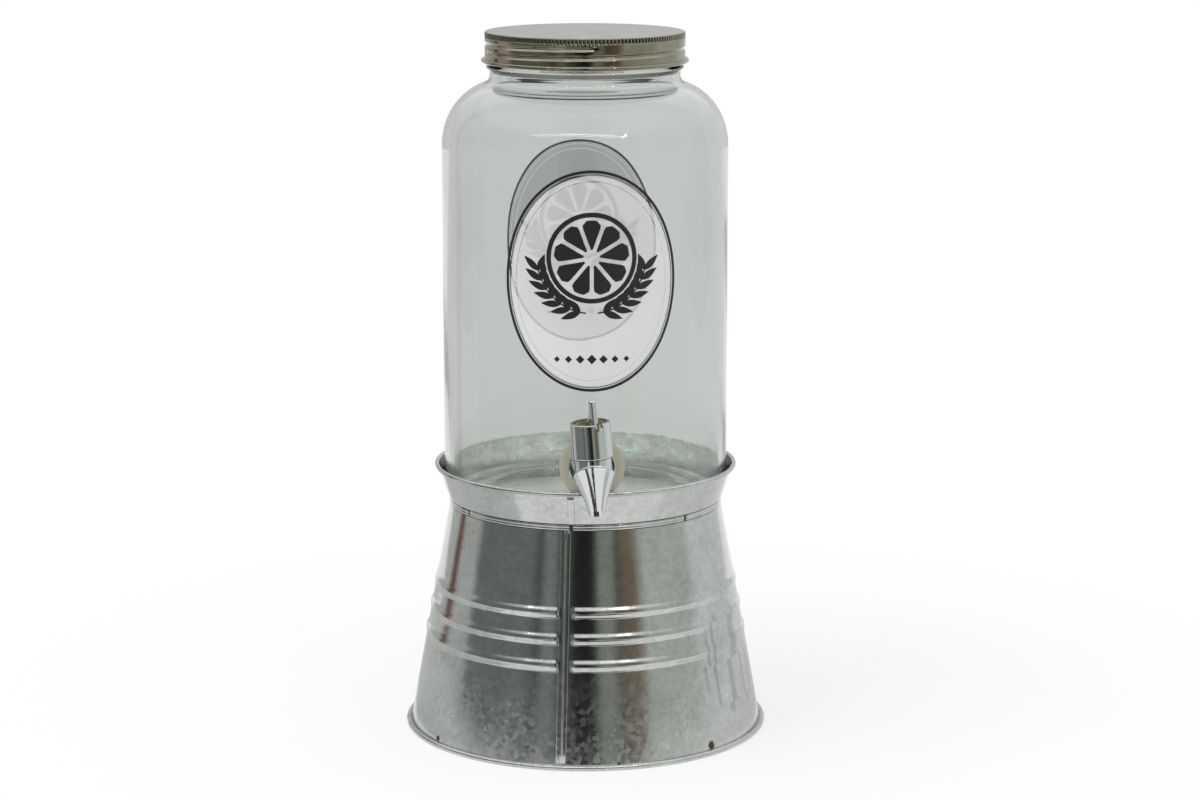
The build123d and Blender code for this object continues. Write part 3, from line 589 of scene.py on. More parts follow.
class DISPENSER_OT_stand_skirt(bpy.types.Operator):
    """Cone of zinc-coated sheet with three beads, a lock seam and a rolled base edge"""

    bl_idname = "dispenser.stand_skirt"
    bl_label = "Stand skirt"

    def execute(self, context):
        stand = context.scene.dispenser_stand
        sheet = stand.sheet
        roll_ring = stand.foot_radius - stand.roll_radius
        cone_foot = stand.foot_radius - 2 * stand.roll_radius + sheet
        cone_top = stand.collar_radius + stand.shoulder_width
        shoulder = stand.top_height - stand.collar_height
        cone_high = shoulder - stand.shoulder_drop
        slope = (cone_foot - cone_top) / (cone_high - stand.roll_height)
        half_bead = stand.bead_width / 2
        half_seam = stand.seam_width / 2
        fine_reach = 9 * MM
        # Where the cone runs into the roll, and how its unevenness and its seam die out at both ends
        cone_low = stand.roll_height + 1.1 * MM
        calm_foot = (4 * MM, 25 * MM)
        calm_top = (0, 14 * MM)
        seam_foot = (3 * MM, 4.5 * MM)
        seam_top = (0, 1 * MM)
        # Ends of the beads, edges of the folded strip and of the sheet's step beside it, and its crease
        bead_ends = (half_seam + 0.6 * MM, half_seam + stand.bead_fade)
        strip_edge = (-0.15 * MM, 0.2 * MM)
        fold = 0.35 * MM
        fold_edge = (-half_seam - 2.2 * MM, -half_seam - 1.9 * MM)
        crease_depth = 0.3 * MM
        crease_place = -0.5 * MM
        crease_half_width = 0.45 * MM
        crease_edge = (0, 0.3 * MM)
        heights = set(steps(cone_high, cone_low, 40))
        for bead in stand.bead_heights:
            heights = {height for height in heights if abs(height - bead) > half_bead}
            heights.update(steps(bead - half_bead, bead + half_bead, 17))
        heights = sorted(heights, reverse=True)

        def cone(height):
            return cone_foot - slope * (height - stand.roll_height)

        # Radius, height, whether the sheet is formed there, and whether it is its outside
        collar_inner = stand.collar_radius - sheet
        rows = [(stand.collar_radius, stand.top_height, 0, 0), (stand.collar_radius, shoulder, 0, 0)]
        rows += [(cone(height), height, 1, 1) for height in heights]
        roll = arc((roll_ring, stand.roll_height), stand.roll_radius, 138, -180, 25)
        rows += [(radius, max(0.0, height), 0, 0) for radius, height in roll]
        rows += [(cone(height) - sheet, height, 1, 0) for height in reversed(heights)]
        rows += [(collar_inner, shoulder, 0, 0), (collar_inner, stand.top_height, 0, 0)]

        def point(column, row):
            radius, height, formed, outside = row
            azimuth, distance = seam_turn(column, stand.seam_azimuth, fine_reach, radius)
            if formed:
                free = smooth_step(abs(distance), *bead_ends)
                for bead in stand.bead_heights:
                    radius += free * stand.bead_proud * hill((height - bead) / half_bead)
                calm = smooth_step(height, *calm_foot) * smooth_step(cone_high - height, *calm_top)
                radius += stand.unevenness * calm * sheet_wave(azimuth, height)
            if outside:
                ends = smooth_step(height, *seam_foot) * smooth_step(cone_high - height, *seam_top)
                strip = smooth_step(half_seam - abs(distance), *strip_edge)
                step = smooth_step(distance, *fold_edge) * (distance < 0)
                crease = smooth_step(crease_half_width - abs(distance - crease_place), *crease_edge)
                radius += ends * max(strip * stand.seam_proud - crease * crease_depth, step * fold)
            return around(azimuth, radius, height)

        zinc = galvanised_steel()
        columns = seam_columns(fine_reach, 85, 300)
        piece = add_piece("skirt_sheet", *skin(columns, rows[::-1], point), "stand", "galvanised", zinc)
        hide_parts("stand_skirt")
        dress(zinc, "base_rim_wire")
        return {"FINISHED"}


class DISPENSER_OT_tray(bpy.types.Operator):
    """Flared tray wall with a rolled rim and a lap, the clinched band with its slits, and the floor"""

    bl_idname = "dispenser.tray"
    bl_label = "Tray"

    def execute(self, context):
        stand = context.scene.dispenser_stand
        self.wall(stand)
        self.band(stand)
        # The tray's floor takes the wetted zinc, painted paler as painted light
        dress(galvanised_steel(wetted_and_painted_light=True), "tray_floor")
        dress(galvanised_steel(), "tray_rim_wire")
        return {"FINISHED"}

    def wall(self, stand):
        """Wall from the collar up to the rolled rim, with the wetted finish inside, painted paler as
        painted light.
        """
        sheet = stand.sheet
        collar_foot = stand.top_height - stand.collar_height
        band_top = band_box[1].z
        flare_foot = band_top + sheet
        rim = ring_box[1].z - stand.tray_roll
        fine_reach = 7 * MM
        calm_reach = 5 * MM
        unevenness = 0.6 * stand.unevenness
        lap_edge = (-0.15 * MM, 0.15 * MM)
        lap_top = rim - 1.6 * MM
        lap_end = (0, 0.8 * MM)

        def wall_radius(height):
            return stand.tray_radius + stand.tray_flare * (height - flare_foot)

        # Radius, height, whether the sheet is formed there, and whether it is its outside
        collar_outer = stand.collar_radius + sheet
        roll_ring = wall_radius(rim) + stand.tray_roll
        heights = steps(flare_foot, rim - 1.0 * MM, 14)
        rows = [(stand.collar_radius, collar_foot, 0, 0), (stand.collar_radius, band_top, 0, 0)]
        rows += [(wall_radius(height), height, 1, 0) for height in heights]
        rows += [(*spot, 0, 0) for spot in arc((roll_ring, rim), stand.tray_roll, 180, -155, 25)]
        rows += [(wall_radius(height) + sheet, height, 1, 1) for height in reversed(heights)]
        rows += [(collar_outer, band_top, 0, 0), (collar_outer, collar_foot, 0, 0)]

        def point(column, row):
            radius, height, formed, outside = row
            azimuth, distance = seam_turn(column, stand.lap_azimuth, fine_reach, radius)
            if formed:
                calm = smooth_step(height - flare_foot, 0, calm_reach)
                calm *= smooth_step(rim - height, 0, calm_reach)
                radius += unevenness * calm * sheet_wave(azimuth + 0.9, 2 * height)
            if outside:
                lap = smooth_step(stand.lap_width / 2 - abs(distance), *lap_edge)
                radius += sheet * lap * smooth_step(lap_top - height, *lap_end)
            return around(azimuth, radius, height)

        def faces_in(face):
            return face.center.xy.dot(face.normal.xy) < 0

        columns = seam_columns(fine_reach, 57, 260)
        shape = skin(columns, rows[::-1], point)
        piece = add_piece("tray_wall", *shape, "stand", "galvanised", galvanised_steel())
        # Inner faces take the wetted zinc, painted paler as painted light
        cover_faces(piece, galvanised_steel(wetted_and_painted_light=True), faces_in)
        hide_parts("tray_ring")

    def band(self, stand):
        """Band clinched round the joint, with upright slits painted dark rust brown as painted shade."""
        band_foot = band_box[0].z
        band_top = band_box[1].z
        band_outer = band_box[1].x
        band_inner = stand.collar_radius + stand.sheet
        crown = 0.22 * MM
        half_slit = stand.slit_width / 2
        slit_depth = 0.6 * MM
        slit_edge = (-0.1 * MM, 0.25 * MM)
        slit_gap = TURN / stand.slit_count
        rows = [(band_inner, band_top, 0), (band_inner, band_foot, 0)]
        rows += [(band_outer, height, 1) for height in steps(band_foot, band_top, 25)]

        def from_slit(azimuth):
            return abs((azimuth - stand.slit_azimuth + slit_gap / 2) % slit_gap - slit_gap / 2)

        def point(azimuth, row):
            radius, height, outside = row
            if outside:
                share = (height - band_foot) / (band_top - band_foot)
                radius -= crown * (1 - abs(math.sin(TURN * share)))
                radius -= slit_depth * smooth_step(half_slit - from_slit(azimuth) * radius, *slit_edge)
            return around(azimuth, radius, height)

        def slitted(face):
            azimuth = math.atan2(face.center.x, -face.center.y)
            return from_slit(azimuth) * band_outer < half_slit and face.center.xy.dot(face.normal.xy) > 0

        shape = skin(round_steps(180 * stand.slit_count), rows, point)
        piece = add_piece("clinch_band", *shape, "stand", "galvanised", galvanised_steel())
        # Painted shade in the slits: dull dark rust brown with darker pits
        rust_and_slit_shade = plain_finish("slit_painted_shade", stand.rust_and_slit_shade, shaded(stand.rust_and_slit_shade, 0.3), 0.8 * MM, 0.8, 0.3)
        cover_faces(piece, rust_and_slit_shade, slitted)
        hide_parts("crimp_band")


def helix_height(azimuth, start, turn, height, pitch):
    """Heights where a thread passes an azimuth, each with its distance from the nearer end in radians."""
    first = azimuth - math.pi / 2
    first += TURN * math.ceil((start - first) / TURN)
    found = []
    while first <= start + turn:
        found.append((height + pitch * first / TURN, min(first - start, start + turn - first)))
        first += TURN
    return found


class DISPENSER_OT_jar(bpy.types.Operator):
    """Pressed glass jar with heel, shoulder, transfer bead, screw thread and the tap's hole"""

    bl_idname = "dispenser.jar"
    bl_label = "Jar"

    def execute(self, context):
        jar = context.scene.dispenser_jar
        neck_foot = jar.mouth - jar.finish_height
        turn = math.acos(1 - (jar.radius - jar.neck_radius) / (jar.shoulder_radius + jar.fillet_radius))
        shoulder_foot = neck_foot - (jar.shoulder_radius + jar.fillet_radius) * math.sin(turn)
        heel_centre = (jar.radius - jar.heel_radius, jar.foot + jar.heel_radius)
        shoulder_centre = (jar.radius - jar.shoulder_radius, shoulder_foot)
        fillet_centre = (jar.neck_radius + jar.fillet_radius, neck_foot)
        foot_outer = jar.radius - jar.heel_radius
        foot_inner = foot_outer - jar.foot_width
        bend = math.degrees(turn)
        ease = jar.shoulder_ease
        ease_foot = shoulder_foot - ease
        ease_end = 30 * MM
        lip = jar.lip_radius
        lip_foot = jar.mouth - lip
        bore = jar.neck_radius - jar.wall
        floor = jar.foot + jar.wall
        first_ring = 0.06
        thread = (jar.thread_start, jar.thread_turn, jar.mouth - jar.thread_drop)
        thread_run_out = 0.25
        ripple_length = 60 * MM
        ripple_calm = (40 * MM, 90 * MM)

        def easing(height, radius):
            up = height - shoulder_foot
            near = min(max(up, -ease), ease)
            drawn = (near + ease) ** 3 / (12 * ease) - max(0.0, near) ** 2 / 2
            return drawn / radius * (1 - smooth_step(up, ease, ease_end))

        def dome(radius, rim, foot):
            return foot + jar.push_up * (1 - (radius / rim) ** 2)

        def side(inset):
            found = arc(heel_centre, jar.heel_radius - inset, -90, 0, 16)
            heights = steps(heel_centre[1], ease_foot, 36)[1:] + steps(ease_foot, shoulder_foot, 9)[1:-1]
            found += [(jar.radius - inset, height) for height in heights]
            found += arc(shoulder_centre, jar.shoulder_radius - inset, 0, bend, 22)
            return found + arc(fillet_centre, jar.fillet_radius + inset, 180 + bend, 180, 9)[1:]

        # Radius, height and surface of each row, from the bottom's middle up the outside and down inside
        bottom = steps(foot_inner * first_ring, foot_inner, 12)
        rows = [(radius, dome(radius, foot_inner, jar.foot), "plain") for radius in bottom]
        rows += [(*spot, "plain") for spot in side(0)]
        heights = steps(neck_foot + 0.4 * MM, lip_foot, 58)
        rows += [(jar.neck_radius, height, "finish") for height in heights]
        rows += [(*spot, "plain") for spot in arc((jar.neck_radius - lip, lip_foot), lip, 0, 90, 7)[1:]]
        rows += [(*spot, "plain") for spot in arc((bore + lip, lip_foot), lip, 90, 180, 7)]
        rows += [(bore, height, "plain") for height in steps(lip_foot - lip, neck_foot + 0.5 * MM, 8)]
        rows += [(*spot, "inside") for spot in reversed(side(jar.wall))]
        bottom = steps(foot_outer * (1 - first_ring), foot_outer * first_ring, 12)
        rows += [(radius, dome(radius, foot_outer, floor), "plain") for radius in bottom]

        def point(azimuth, row):
            radius, height, surface = row
            if surface == "finish":
                share = (height - neck_foot - jar.bead_height) / jar.bead_half_width
                radius += jar.bead_proud * hill(share)
                for level, left in helix_height(azimuth, *thread, jar.thread_pitch):
                    offset = height - level
                    if abs(offset) < jar.thread_radius:
                        ridge = math.sqrt(jar.thread_radius**2 - offset**2)
                        bulge = ridge + jar.thread_proud - jar.thread_radius
                        radius = max(radius, jar.neck_radius + bulge * smooth_step(left, 0, thread_run_out))
            if surface == "inside":
                up = height / ripple_length
                calm = smooth_step(neck_foot - height, *ripple_calm)
                radius += calm * jar.ripple * math.sin(4 * azimuth + up) * math.sin(2.1 * up + 7 * azimuth)
            radius -= easing(height, jar.shoulder_radius - (jar.wall if surface == "inside" else 0))
            return around(azimuth, radius, height)

        poles = (jar.foot + jar.push_up, floor + jar.push_up)
        shape = skin(round_steps(256), rows, point, poles)
        piece = add_piece("jar_shell", *shape, "jar", "glass", soda_lime_glass(), sharp=60)
        self.drill(context, piece, jar)
        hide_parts("jar_glass")
        return {"FINISHED"}

    def drill(self, context, piece, jar):
        """Cut the tap's hole through the front wall."""
        sides = 64
        depths = (-jar.radius - 10 * MM, -jar.radius + 30 * MM)
        points = []
        for depth in depths:
            for turn in round_steps(sides):
                up = jar.tap_height + jar.tap_hole * math.sin(turn)
                points.append((jar.tap_hole * math.cos(turn), depth, up))
        faces = [tuple(range(sides)), tuple(reversed(range(sides, 2 * sides)))]
        for index in range(sides):
            after = (index + 1) % sides
            faces.append((sides + index, sides + after, after, index))
        drill = new_object("drill", points, faces)
        cut = piece.modifiers.new("tap_hole", "BOOLEAN")
        cut.operation = "DIFFERENCE"
        cut.solver = "EXACT"
        cut.object = drill
        context.view_layer.update()
        drilled = bpy.data.meshes.new_from_object(piece.evaluated_get(context.evaluated_depsgraph_get()))
        piece.modifiers.clear()
        piece.data = drilled
        bpy.data.objects.remove(drill)


def slab(patches, radius, low, high, mirror):
    """Thin closed skins wrapped on a cylinder, one for each grid of flat points."""
    points = []
    faces = []
    for grid in patches:
        height = len(grid)
        width = len(grid[0])
        first = len(points)
        for lift in (high, low):
            for line in grid:
                for across, up in line:
                    turn = across / radius + (math.pi if mirror else 0)
                    points.append(around(turn, radius + lift, up))
        back = first + height * width

        def at(start, row, column):
            return start + row * width + column

        for row in range(height - 1):
            for column in range(width - 1):
                corners = ((row, column), (row, column + 1), (row + 1, column + 1), (row + 1, column))
                faces.append(tuple(at(first, *corner) for corner in corners))
                faces.append(tuple(at(back, *corner) for corner in reversed(corners)))
        edge = [(0, column) for column in range(width)]
        edge += [(row, width - 1) for row in range(1, height)]
        edge += [(height - 1, column) for column in range(width - 2, -1, -1)]
        edge += [(row, 0) for row in range(height - 2, 0, -1)]
        for index, spot in enumerate(edge):
            after = edge[(index + 1) % len(edge)]
            faces.append((at(first, *after), at(first, *spot), at(back, *spot), at(back, *after)))
    return points, faces


def oval_band(centre, inner, outer, pieces, across=3):
    """Grid of a closed band on an ellipse, from inner to outer half sizes."""
    turns = [math.radians(value) for value in steps(0, 360, pieces + 1)]
    grid = []
    for share in steps(0, 1, across):
        wide = inner[0] + (outer[0] - inner[0]) * share
        tall = inner[1] + (outer[1] - inner[1]) * share
        line = [(centre[0] + wide * math.cos(turn), centre[1] + tall * math.sin(turn)) for turn in turns]
        grid.append(line)
    return grid[::-1]


def leaf_patch(root, direction, size, width):
    """Grid of a pointed leaf from its root along a direction in degrees."""
    turn = math.radians(direction)
    ahead = Vector((math.cos(turn), math.sin(turn)))
    aside = Vector((-ahead.y, ahead.x))
    grid = []
    for side in steps(-1, 1, 5):
        line = []
        for share in steps(0.02, 0.98, 13):
            swell = width * side * math.sin(math.pi * share**0.8)
            line.append(Vector(root) + ahead * size * share + aside * swell)
        grid.append(line)
    return grid


class DISPENSER_OT_jar_print(bpy.types.Operator):
    """Fired print on the jar's front and back: a frosted medallion with a citrus wheel and leaves"""

    bl_idname = "dispenser.jar_print"
    bl_label = "Jar print"

    def execute(self, context):
        jar = context.scene.dispenser_jar
        # Fired screen ink: near black with a soft gloss
        ink = plain_finish("screen_ink_black_fired", jar.ink, shaded(jar.ink, 1.6), 0.7 * MM, 0.42, 0.1)
        # Fired frost: a thin matt white that the glass still shows through
        frost = plain_finish(
            "frost_ink_white_fired", jar.frost, shaded(jar.frost, 0.93), 0.5 * MM, 0.7, 0.15,
            {"Alpha": 0.34},
        )
        middle = (0.0, jar.print_height)
        wheel = (0.0, jar.print_height + 13 * MM)

        def oval(inset):
            return (jar.print_half_width - inset * MM, jar.print_half_height - inset * MM)

        field = [
            oval_band(middle, oval(6), oval(3.2), 144),
            oval_band(middle, (0.4 * MM, 0.4 * MM), oval(6.4), 144, 30),
        ]
        black = [oval_band(middle, oval(1.6), oval(0), 144), oval_band(middle, oval(2.6), oval(2.2), 144)]
        black += self.citrus_wheel(wheel)
        for side in (-1, 1):
            black += self.branch(wheel, side)
        black += self.diamonds((0.0, jar.print_height - 43 * MM))
        for name, mirror in (("front", False), ("back", True)):
            frosted = slab(field, jar.radius, 0.015 * MM, 0.04 * MM, mirror)
            inked = slab(black, jar.radius, 0.05 * MM, 0.09 * MM, mirror)
            add_piece(f"print_frost_{name}", *frosted, "jar", "glass", frost)
            add_piece(f"print_ink_{name}", *inked, "jar", "glass", ink)
        return {"FINISHED"}

    def citrus_wheel(self, centre):
        """Rind and segments of a cut citrus."""
        rind = 25 * MM
        rind_width = 2.6 * MM
        core = 4.5 * MM
        segment_length = 16.2 * MM
        half_gap = 1.1 * MM
        segments = 9
        # Share of a segment's length past which its corners round off, and how much they lose
        round_from = 0.8
        round_off = 0.55
        patches = [oval_band(centre, (rind - rind_width,) * 2, (rind,) * 2, 120)]
        for index in range(segments):
            lead = 360 * index / segments + 90
            grid = []
            for share in steps(0, 1, 9):
                reach = core + segment_length * share
                half = 180 / segments - math.degrees(half_gap / reach)
                half *= 1 - round_off * max(0.0, (share - round_from) / (1 - round_from)) ** 2
                grid.append(arc(centre, reach, lead - half, lead + half, 9))
            patches.append(grid[::-1])
        return patches

    def branch(self, centre, side):
        """Leafy branch bent round the wheel on one side."""
        wreath = 30.5 * MM
        leaf_width = 1.9 * MM
        # Spread from the stem in degrees and length in millimetres of the leaves of a pair
        pair = ((36, 10.0), (-32, 11.5))

        def spot(swing, reach):
            turn = math.radians(swing)
            return (side * reach * math.sin(turn), centre[1] - reach * math.cos(turn))

        patches = []
        for swing in steps(12, 76, 7):
            for spread, size in pair:
                heading = swing + spread if side > 0 else 180 - swing - spread
                patches.append(leaf_patch(spot(swing, wreath), heading, size * MM, leaf_width))
        stem = []
        for thick in (0.4, 0.0, -0.4):
            line = [spot(swing, wreath + thick * MM) for swing in steps(6, 82, 25)]
            stem.append(line[::side])
        return patches + [stem]

    def diamonds(self, centre):
        """Row of diamonds, smaller towards its ends."""
        spacing = 6.4 * MM
        largest = 2.7 * MM
        loss = 0.35 * MM
        patches = []
        for index in range(-3, 4):
            middle = centre[0] + index * spacing
            size = largest - loss * abs(index)
            grid = []
            for low in steps(-1, 1, 5):
                line = []
                for across in steps(-1, 1, 5):
                    line.append((middle + size * (across - low) / 2, centre[1] + size * (across + low) / 2))
                grid.append(line)
            patches.append(grid)
        return patches


class DISPENSER_OT_lid(bpy.types.Operator):
    """Tinplate screw lid with a knurled edge, rolled thread, curled foot and sealing disc"""

    bl_idname = "dispenser.lid"
    bl_label = "Lid"

    def execute(self, context):
        lid = context.scene.dispenser_lid
        jar = context.scene.dispenser_jar
        sheet = lid.sheet
        inner = lid.radius - sheet
        under = lid.top - sheet
        curl = (inner + lid.curl_radius, lid.foot + lid.curl_radius)
        corner = (lid.radius - lid.corner_radius, lid.top - lid.corner_radius)
        side_ends = (corner[1] - 0.1 * MM, curl[1] + 1.1 * MM)
        knurl_top = lid.top - 0.1 * MM
        knurl_foot = knurl_top - lid.knurl_height
        knurl_rise = (0, 0.35 * MM)
        knurl_fall = (0, 0.5 * MM)
        knurl_shade_inset = 0.3 * MM
        groove = (lid.groove_start, lid.groove_turn, lid.groove_height)
        groove_run_out = 0.22

        # Radius, height and whether the sheet is knurled and rolled there, from the top round the curl
        rows = [(corner[0] * share, lid.top, 0) for share in (0.03, 0.2, 0.4, 0.6, 0.8, 0.94)]
        rows += [(*spot, 1) for spot in arc(corner, lid.corner_radius, 90, 0, 7)]
        rows += [(lid.radius, height, 1) for height in steps(*side_ends, 42)]
        rows += [(*spot, 0) for spot in arc(curl, lid.curl_radius, 130, -180, 14)]
        rows += [(inner, height, 1) for height in reversed(steps(*side_ends, 22))]
        rows += [(*spot, 0) for spot in arc(corner, lid.corner_radius - sheet, 0, 90, 4)]
        rows += [(corner[0] * share, under, 0) for share in (0.94, 0.6, 0.3, 0.03)]

        def point(azimuth, row):
            radius, height, formed = row
            if formed:
                band = smooth_step(height - knurl_foot, *knurl_rise)
                band *= smooth_step(knurl_top - height, *knurl_fall)
                depth = lid.knurl_depth if radius > inner else 0.5 * lid.knurl_depth
                radius -= depth * band * (1 - abs(math.cos(lid.knurl_count / 2 * azimuth)))
                for level, left in helix_height(azimuth, *groove, jar.thread_pitch):
                    share = abs(height - level) / (lid.groove_width / 2)
                    if share < 1:
                        fall = math.cos(math.pi / 2 * share) ** 1.2
                        radius -= lid.groove_depth * fall * smooth_step(left, 0, groove_run_out)
            return around(azimuth, radius, height)

        # Faces in the valleys between the teeth, which take the painted shade
        def between_teeth(face):
            middle = face.center
            share = math.atan2(middle.x, -middle.y) * lid.knurl_count / TURN % 1
            level = knurl_foot + knurl_shade_inset < middle.z < knurl_top - knurl_shade_inset
            return level and middle.xy.length > inner - lid.knurl_depth and 1 / 3 < share < 2 / 3

        finish = tinplate("tinplate_stamped", lid.tin, lid.tin_dull)
        shape = skin(round_steps(6 * lid.knurl_count), rows[::-1], point, (under, lid.top))
        piece = add_piece("lid_cap", *shape, "lid", "tinplate", finish, sharp=50)
        # Tinplate with painted shade: the same grain, darkened between the teeth to stand in for the shade
        # in the knurl's valleys
        knurl_shade_tin = tinplate("tinplate_knurl_shade", lid.knurl_shade, shaded(lid.knurl_shade, 0.8))
        cover_faces(piece, knurl_shade_tin, between_teeth)
        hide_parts("lid_shell")
        # Cast plastisol: soft cream white with a dull gloss
        liner = plain_finish("plastisol_liner_cast", lid.liner, shaded(lid.liner, 0.9), 3 * MM, 0.5, 0.1)
        dress(liner, "lid_liner")
        return {"FINISHED"}


def head_place(tap, jar):
    """Frame of the valve: its axis is Z, and the lever faces -Y."""
    shank = Matrix.Translation((0, -jar.radius, jar.tap_height)) @ Matrix.Rotation(tap.roll, 4, "Y")
    return shank @ Matrix.Translation((0, -tap.reach, 0)) @ Matrix.Rotation(tap.lever_turn, 4, "Z")


class DISPENSER_OT_tap(bpy.types.Operator):
    """Chrome tap with its lever, washers and the bare plastic inside the bonnet"""

    bl_idname = "dispenser.tap"
    bl_label = "Tap"

    def execute(self, context):
        tap = context.scene.dispenser_tap
        jar = context.scene.dispenser_jar
        dress(chrome_plate(), "tap_body", "tap_bonnet", "tap_lever", "lever_pin")
        # Moulded silicone: cream, lit from inside, with a wet-looking skin
        silicone = plain_finish(
            "silicone_moulded", tap.silicone, shaded(tap.silicone, 0.9), 4 * MM, 0.42, 0.08,
            {
                "Subsurface Weight": 0.35, "Subsurface Radius": (4 * MM, 3 * MM, 2 * MM),
                "Subsurface Scale": 1.0, "Transmission Weight": 0.25,
                "Coat Weight": 0.6, "Coat Roughness": 0.08,
            },
        )
        dress(silicone, "outer_gasket", "inner_gasket")
        # Bare moulded ABS: yellowed cream with an eggshell gloss
        bare = plain_finish("abs_bare_moulded", tap.cream, shaded(tap.cream, 0.82), 2 * MM, 0.4, 0.12)
        place = head_place(tap, jar)
        gap = 0.03 * MM
        film = 0.12 * MM
        bore = 3.2 * MM
        notch_depth = 3.8 * MM
        outer = tap.cup_radius - gap
        inner = outer - film
        low = tap.cup_floor + gap
        floor = low + film
        top = tap.bonnet_top - notch_depth
        rows = [(bore, low), (outer, low), (outer, top), (inner, top), (inner, floor), (bore, floor)]

        def point(azimuth, row):
            return place @ Vector(around(azimuth, *row))

        add_piece("bonnet_cup_lining", *skin(round_steps(72), rows, point), "jar", "chrome", bare)
        return {"FINISHED"}


class DISPENSER_OT_valve(bpy.types.Operator):
    """Nut, stem, plug, seals and the coil spring of the tap"""

    bl_idname = "dispenser.valve"
    bl_label = "Valve"

    def execute(self, context):
        tap = context.scene.dispenser_tap
        jar = context.scene.dispenser_jar
        # Moulded acetal: natural white with a waxy gloss
        acetal = plain_finish("acetal_moulded", tap.acetal, shaded(tap.acetal, 0.92), 3 * MM, 0.45, 0.1)
        dress(acetal, "shank_nut", "valve_stem", "stem_gland")
        # Moulded nitrile rubber: matt black with a faint bloom
        rubber = plain_finish(
            "nitrile_rubber_moulded", tap.rubber, shaded(tap.rubber, 1.7), 1.5 * MM, 0.55, 0.15
        )
        dress(rubber, "valve_plug", "stem_oring", "bonnet_seal")
        # Drawn spring steel: bright grey with soft reflections
        steel = plain_finish(
            "spring_steel_drawn", tap.chrome, shaded(tap.chrome, 0.7), 0.6 * MM, 0.28, 0.1,
            {"Metallic": 1.0},
        )
        place = head_place(tap, jar)
        low = tap.spring_foot + tap.spring_wire
        high = tap.spring_top - tap.spring_wire
        steps_a_turn = 48
        around_wire = 12
        count = int(tap.spring_turns * steps_a_turn)
        pitch = (high - low) / tap.spring_turns
        lean = math.atan2(pitch, TURN * tap.spring_radius)
        points = []
        for index in range(count + 1):
            turn = TURN * tap.spring_turns * index / count
            outward = Vector((math.cos(turn), math.sin(turn), 0))
            upward = Vector((outward.y * math.sin(lean), -outward.x * math.sin(lean), math.cos(lean)))
            middle = tap.spring_radius * outward + Vector((0, 0, low + pitch * turn / TURN))
            for roll in round_steps(around_wire):
                spot = middle + tap.spring_wire * (math.cos(roll) * outward + math.sin(roll) * upward)
                points.append(place @ spot)
        faces = []
        for index in range(count):
            start = index * around_wire
            ahead = start + around_wire
            for step in range(around_wire):
                after = (step + 1) % around_wire
                faces.append((start + step, ahead + step, ahead + after, start + after))
        faces.append(tuple(range(around_wire)))
        faces.append(tuple(reversed(range(count * around_wire, (count + 1) * around_wire))))
        piece = add_piece("valve_coil", points, faces, "jar", "steel_wire", steel)
        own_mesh(piece)
        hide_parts("valve_spring")
        return {"FINISHED"}


# How much dimmer the backdrop is behind glass, and the studio is on matt surfaces
GLASS_SHADE = -0.32
MATT_SHADE = -0.25
# How much of the room's reflection is lost on light that has passed through glass
ROOM_LOSS = -0.9
# Upward part of a ray: where the room ends at the white ceiling, and where the studio dims behind glass
CEILING = (0.46, 0.60)
DIMMED = (0.35, 0.15)
# Room in front of the object as metal sees it: its walls by their azimuth in degrees from the front
BACK_WALL = "#CDD0CE"
PALE_WALL = "#BEC1BF"
WARM_WALL = "#7A5048"
GREY_WALL = "#7A7E7A"
PANEL = "#8A8E8A"
SHADE = "#565A56"
DARK_GAP = "#262726"
SCREEN = "#8E948A"
WOOD = "#7E7060"
LIGHT_WALL = "#C2C8C2"
BRIGHT_WALL = "#DEE2E1"
ROOM = (
    (-180, BACK_WALL), (-132, PALE_WALL), (-128, WARM_WALL), (-124, WARM_WALL), (-120, PALE_WALL),
    (-101, PALE_WALL), (-95, GREY_WALL), (-46, GREY_WALL), (-38, SHADE), (-33, PANEL), (-27, PANEL),
    (-22, SHADE), (-15, SHADE), (-10, DARK_GAP), (4, DARK_GAP), (8, SCREEN), (18, SCREEN), (22, SHADE),
    (28, WOOD), (35, WOOD), (44, LIGHT_WALL), (82, LIGHT_WALL), (92, BRIGHT_WALL), (150, BRIGHT_WALL),
    (180, BACK_WALL),
)
# Corners of the floor in metres: short in front, so that metal sees the room past its edge
FLOOR = (
    (-0.36, -0.75, 0), (0.36, -0.75, 0), (0.36, -0.2, 0), (0.75, 1.2, 0),
    (2.5, 3, 0), (-2.5, 3, 0), (-0.6, 1.2, 0), (-0.36, -0.1, 0),
)
# Distances in metres over which the floor goes from taking the shadow to plain white, and its least white
SHADOW_REACH = (0.1, 0.55)
LEAST_WHITE = 0.7
# Cards on the floor: name, finish, left, right, front and back edge in metres
CARDS = (
    ("dark_card_wide", "paper_card_black", -0.20, 0.15, -0.45, -0.25),
    ("dark_card_long", "paper_card_black", -0.06, 0.01, -0.75, -0.45),
    ("card_left", "paper_card_grey", -0.50, -0.115, -0.12, 0.40),
    ("card_right", "paper_card_matt", 0.115, 0.50, -0.12, 0.40),
)
# Lamps: name, place, aim, size, power in watts, and whether shiny surfaces show them
LAMPS = (
    ("soft_lamp", (-0.9, -0.5, 1.5), (0, 0, 0.2), (1.0, 0.8), 9.0, False),
    ("tube_lamp", (-0.2, -1.25, 1.22), (0, 0, 0.35), (2.2, 0.02), 2.2, True),
    ("small_lamp", (0.69, -1.10, 1.10), (0, 0, 0.3), (0.07, 0.07), 0.7, True),
)


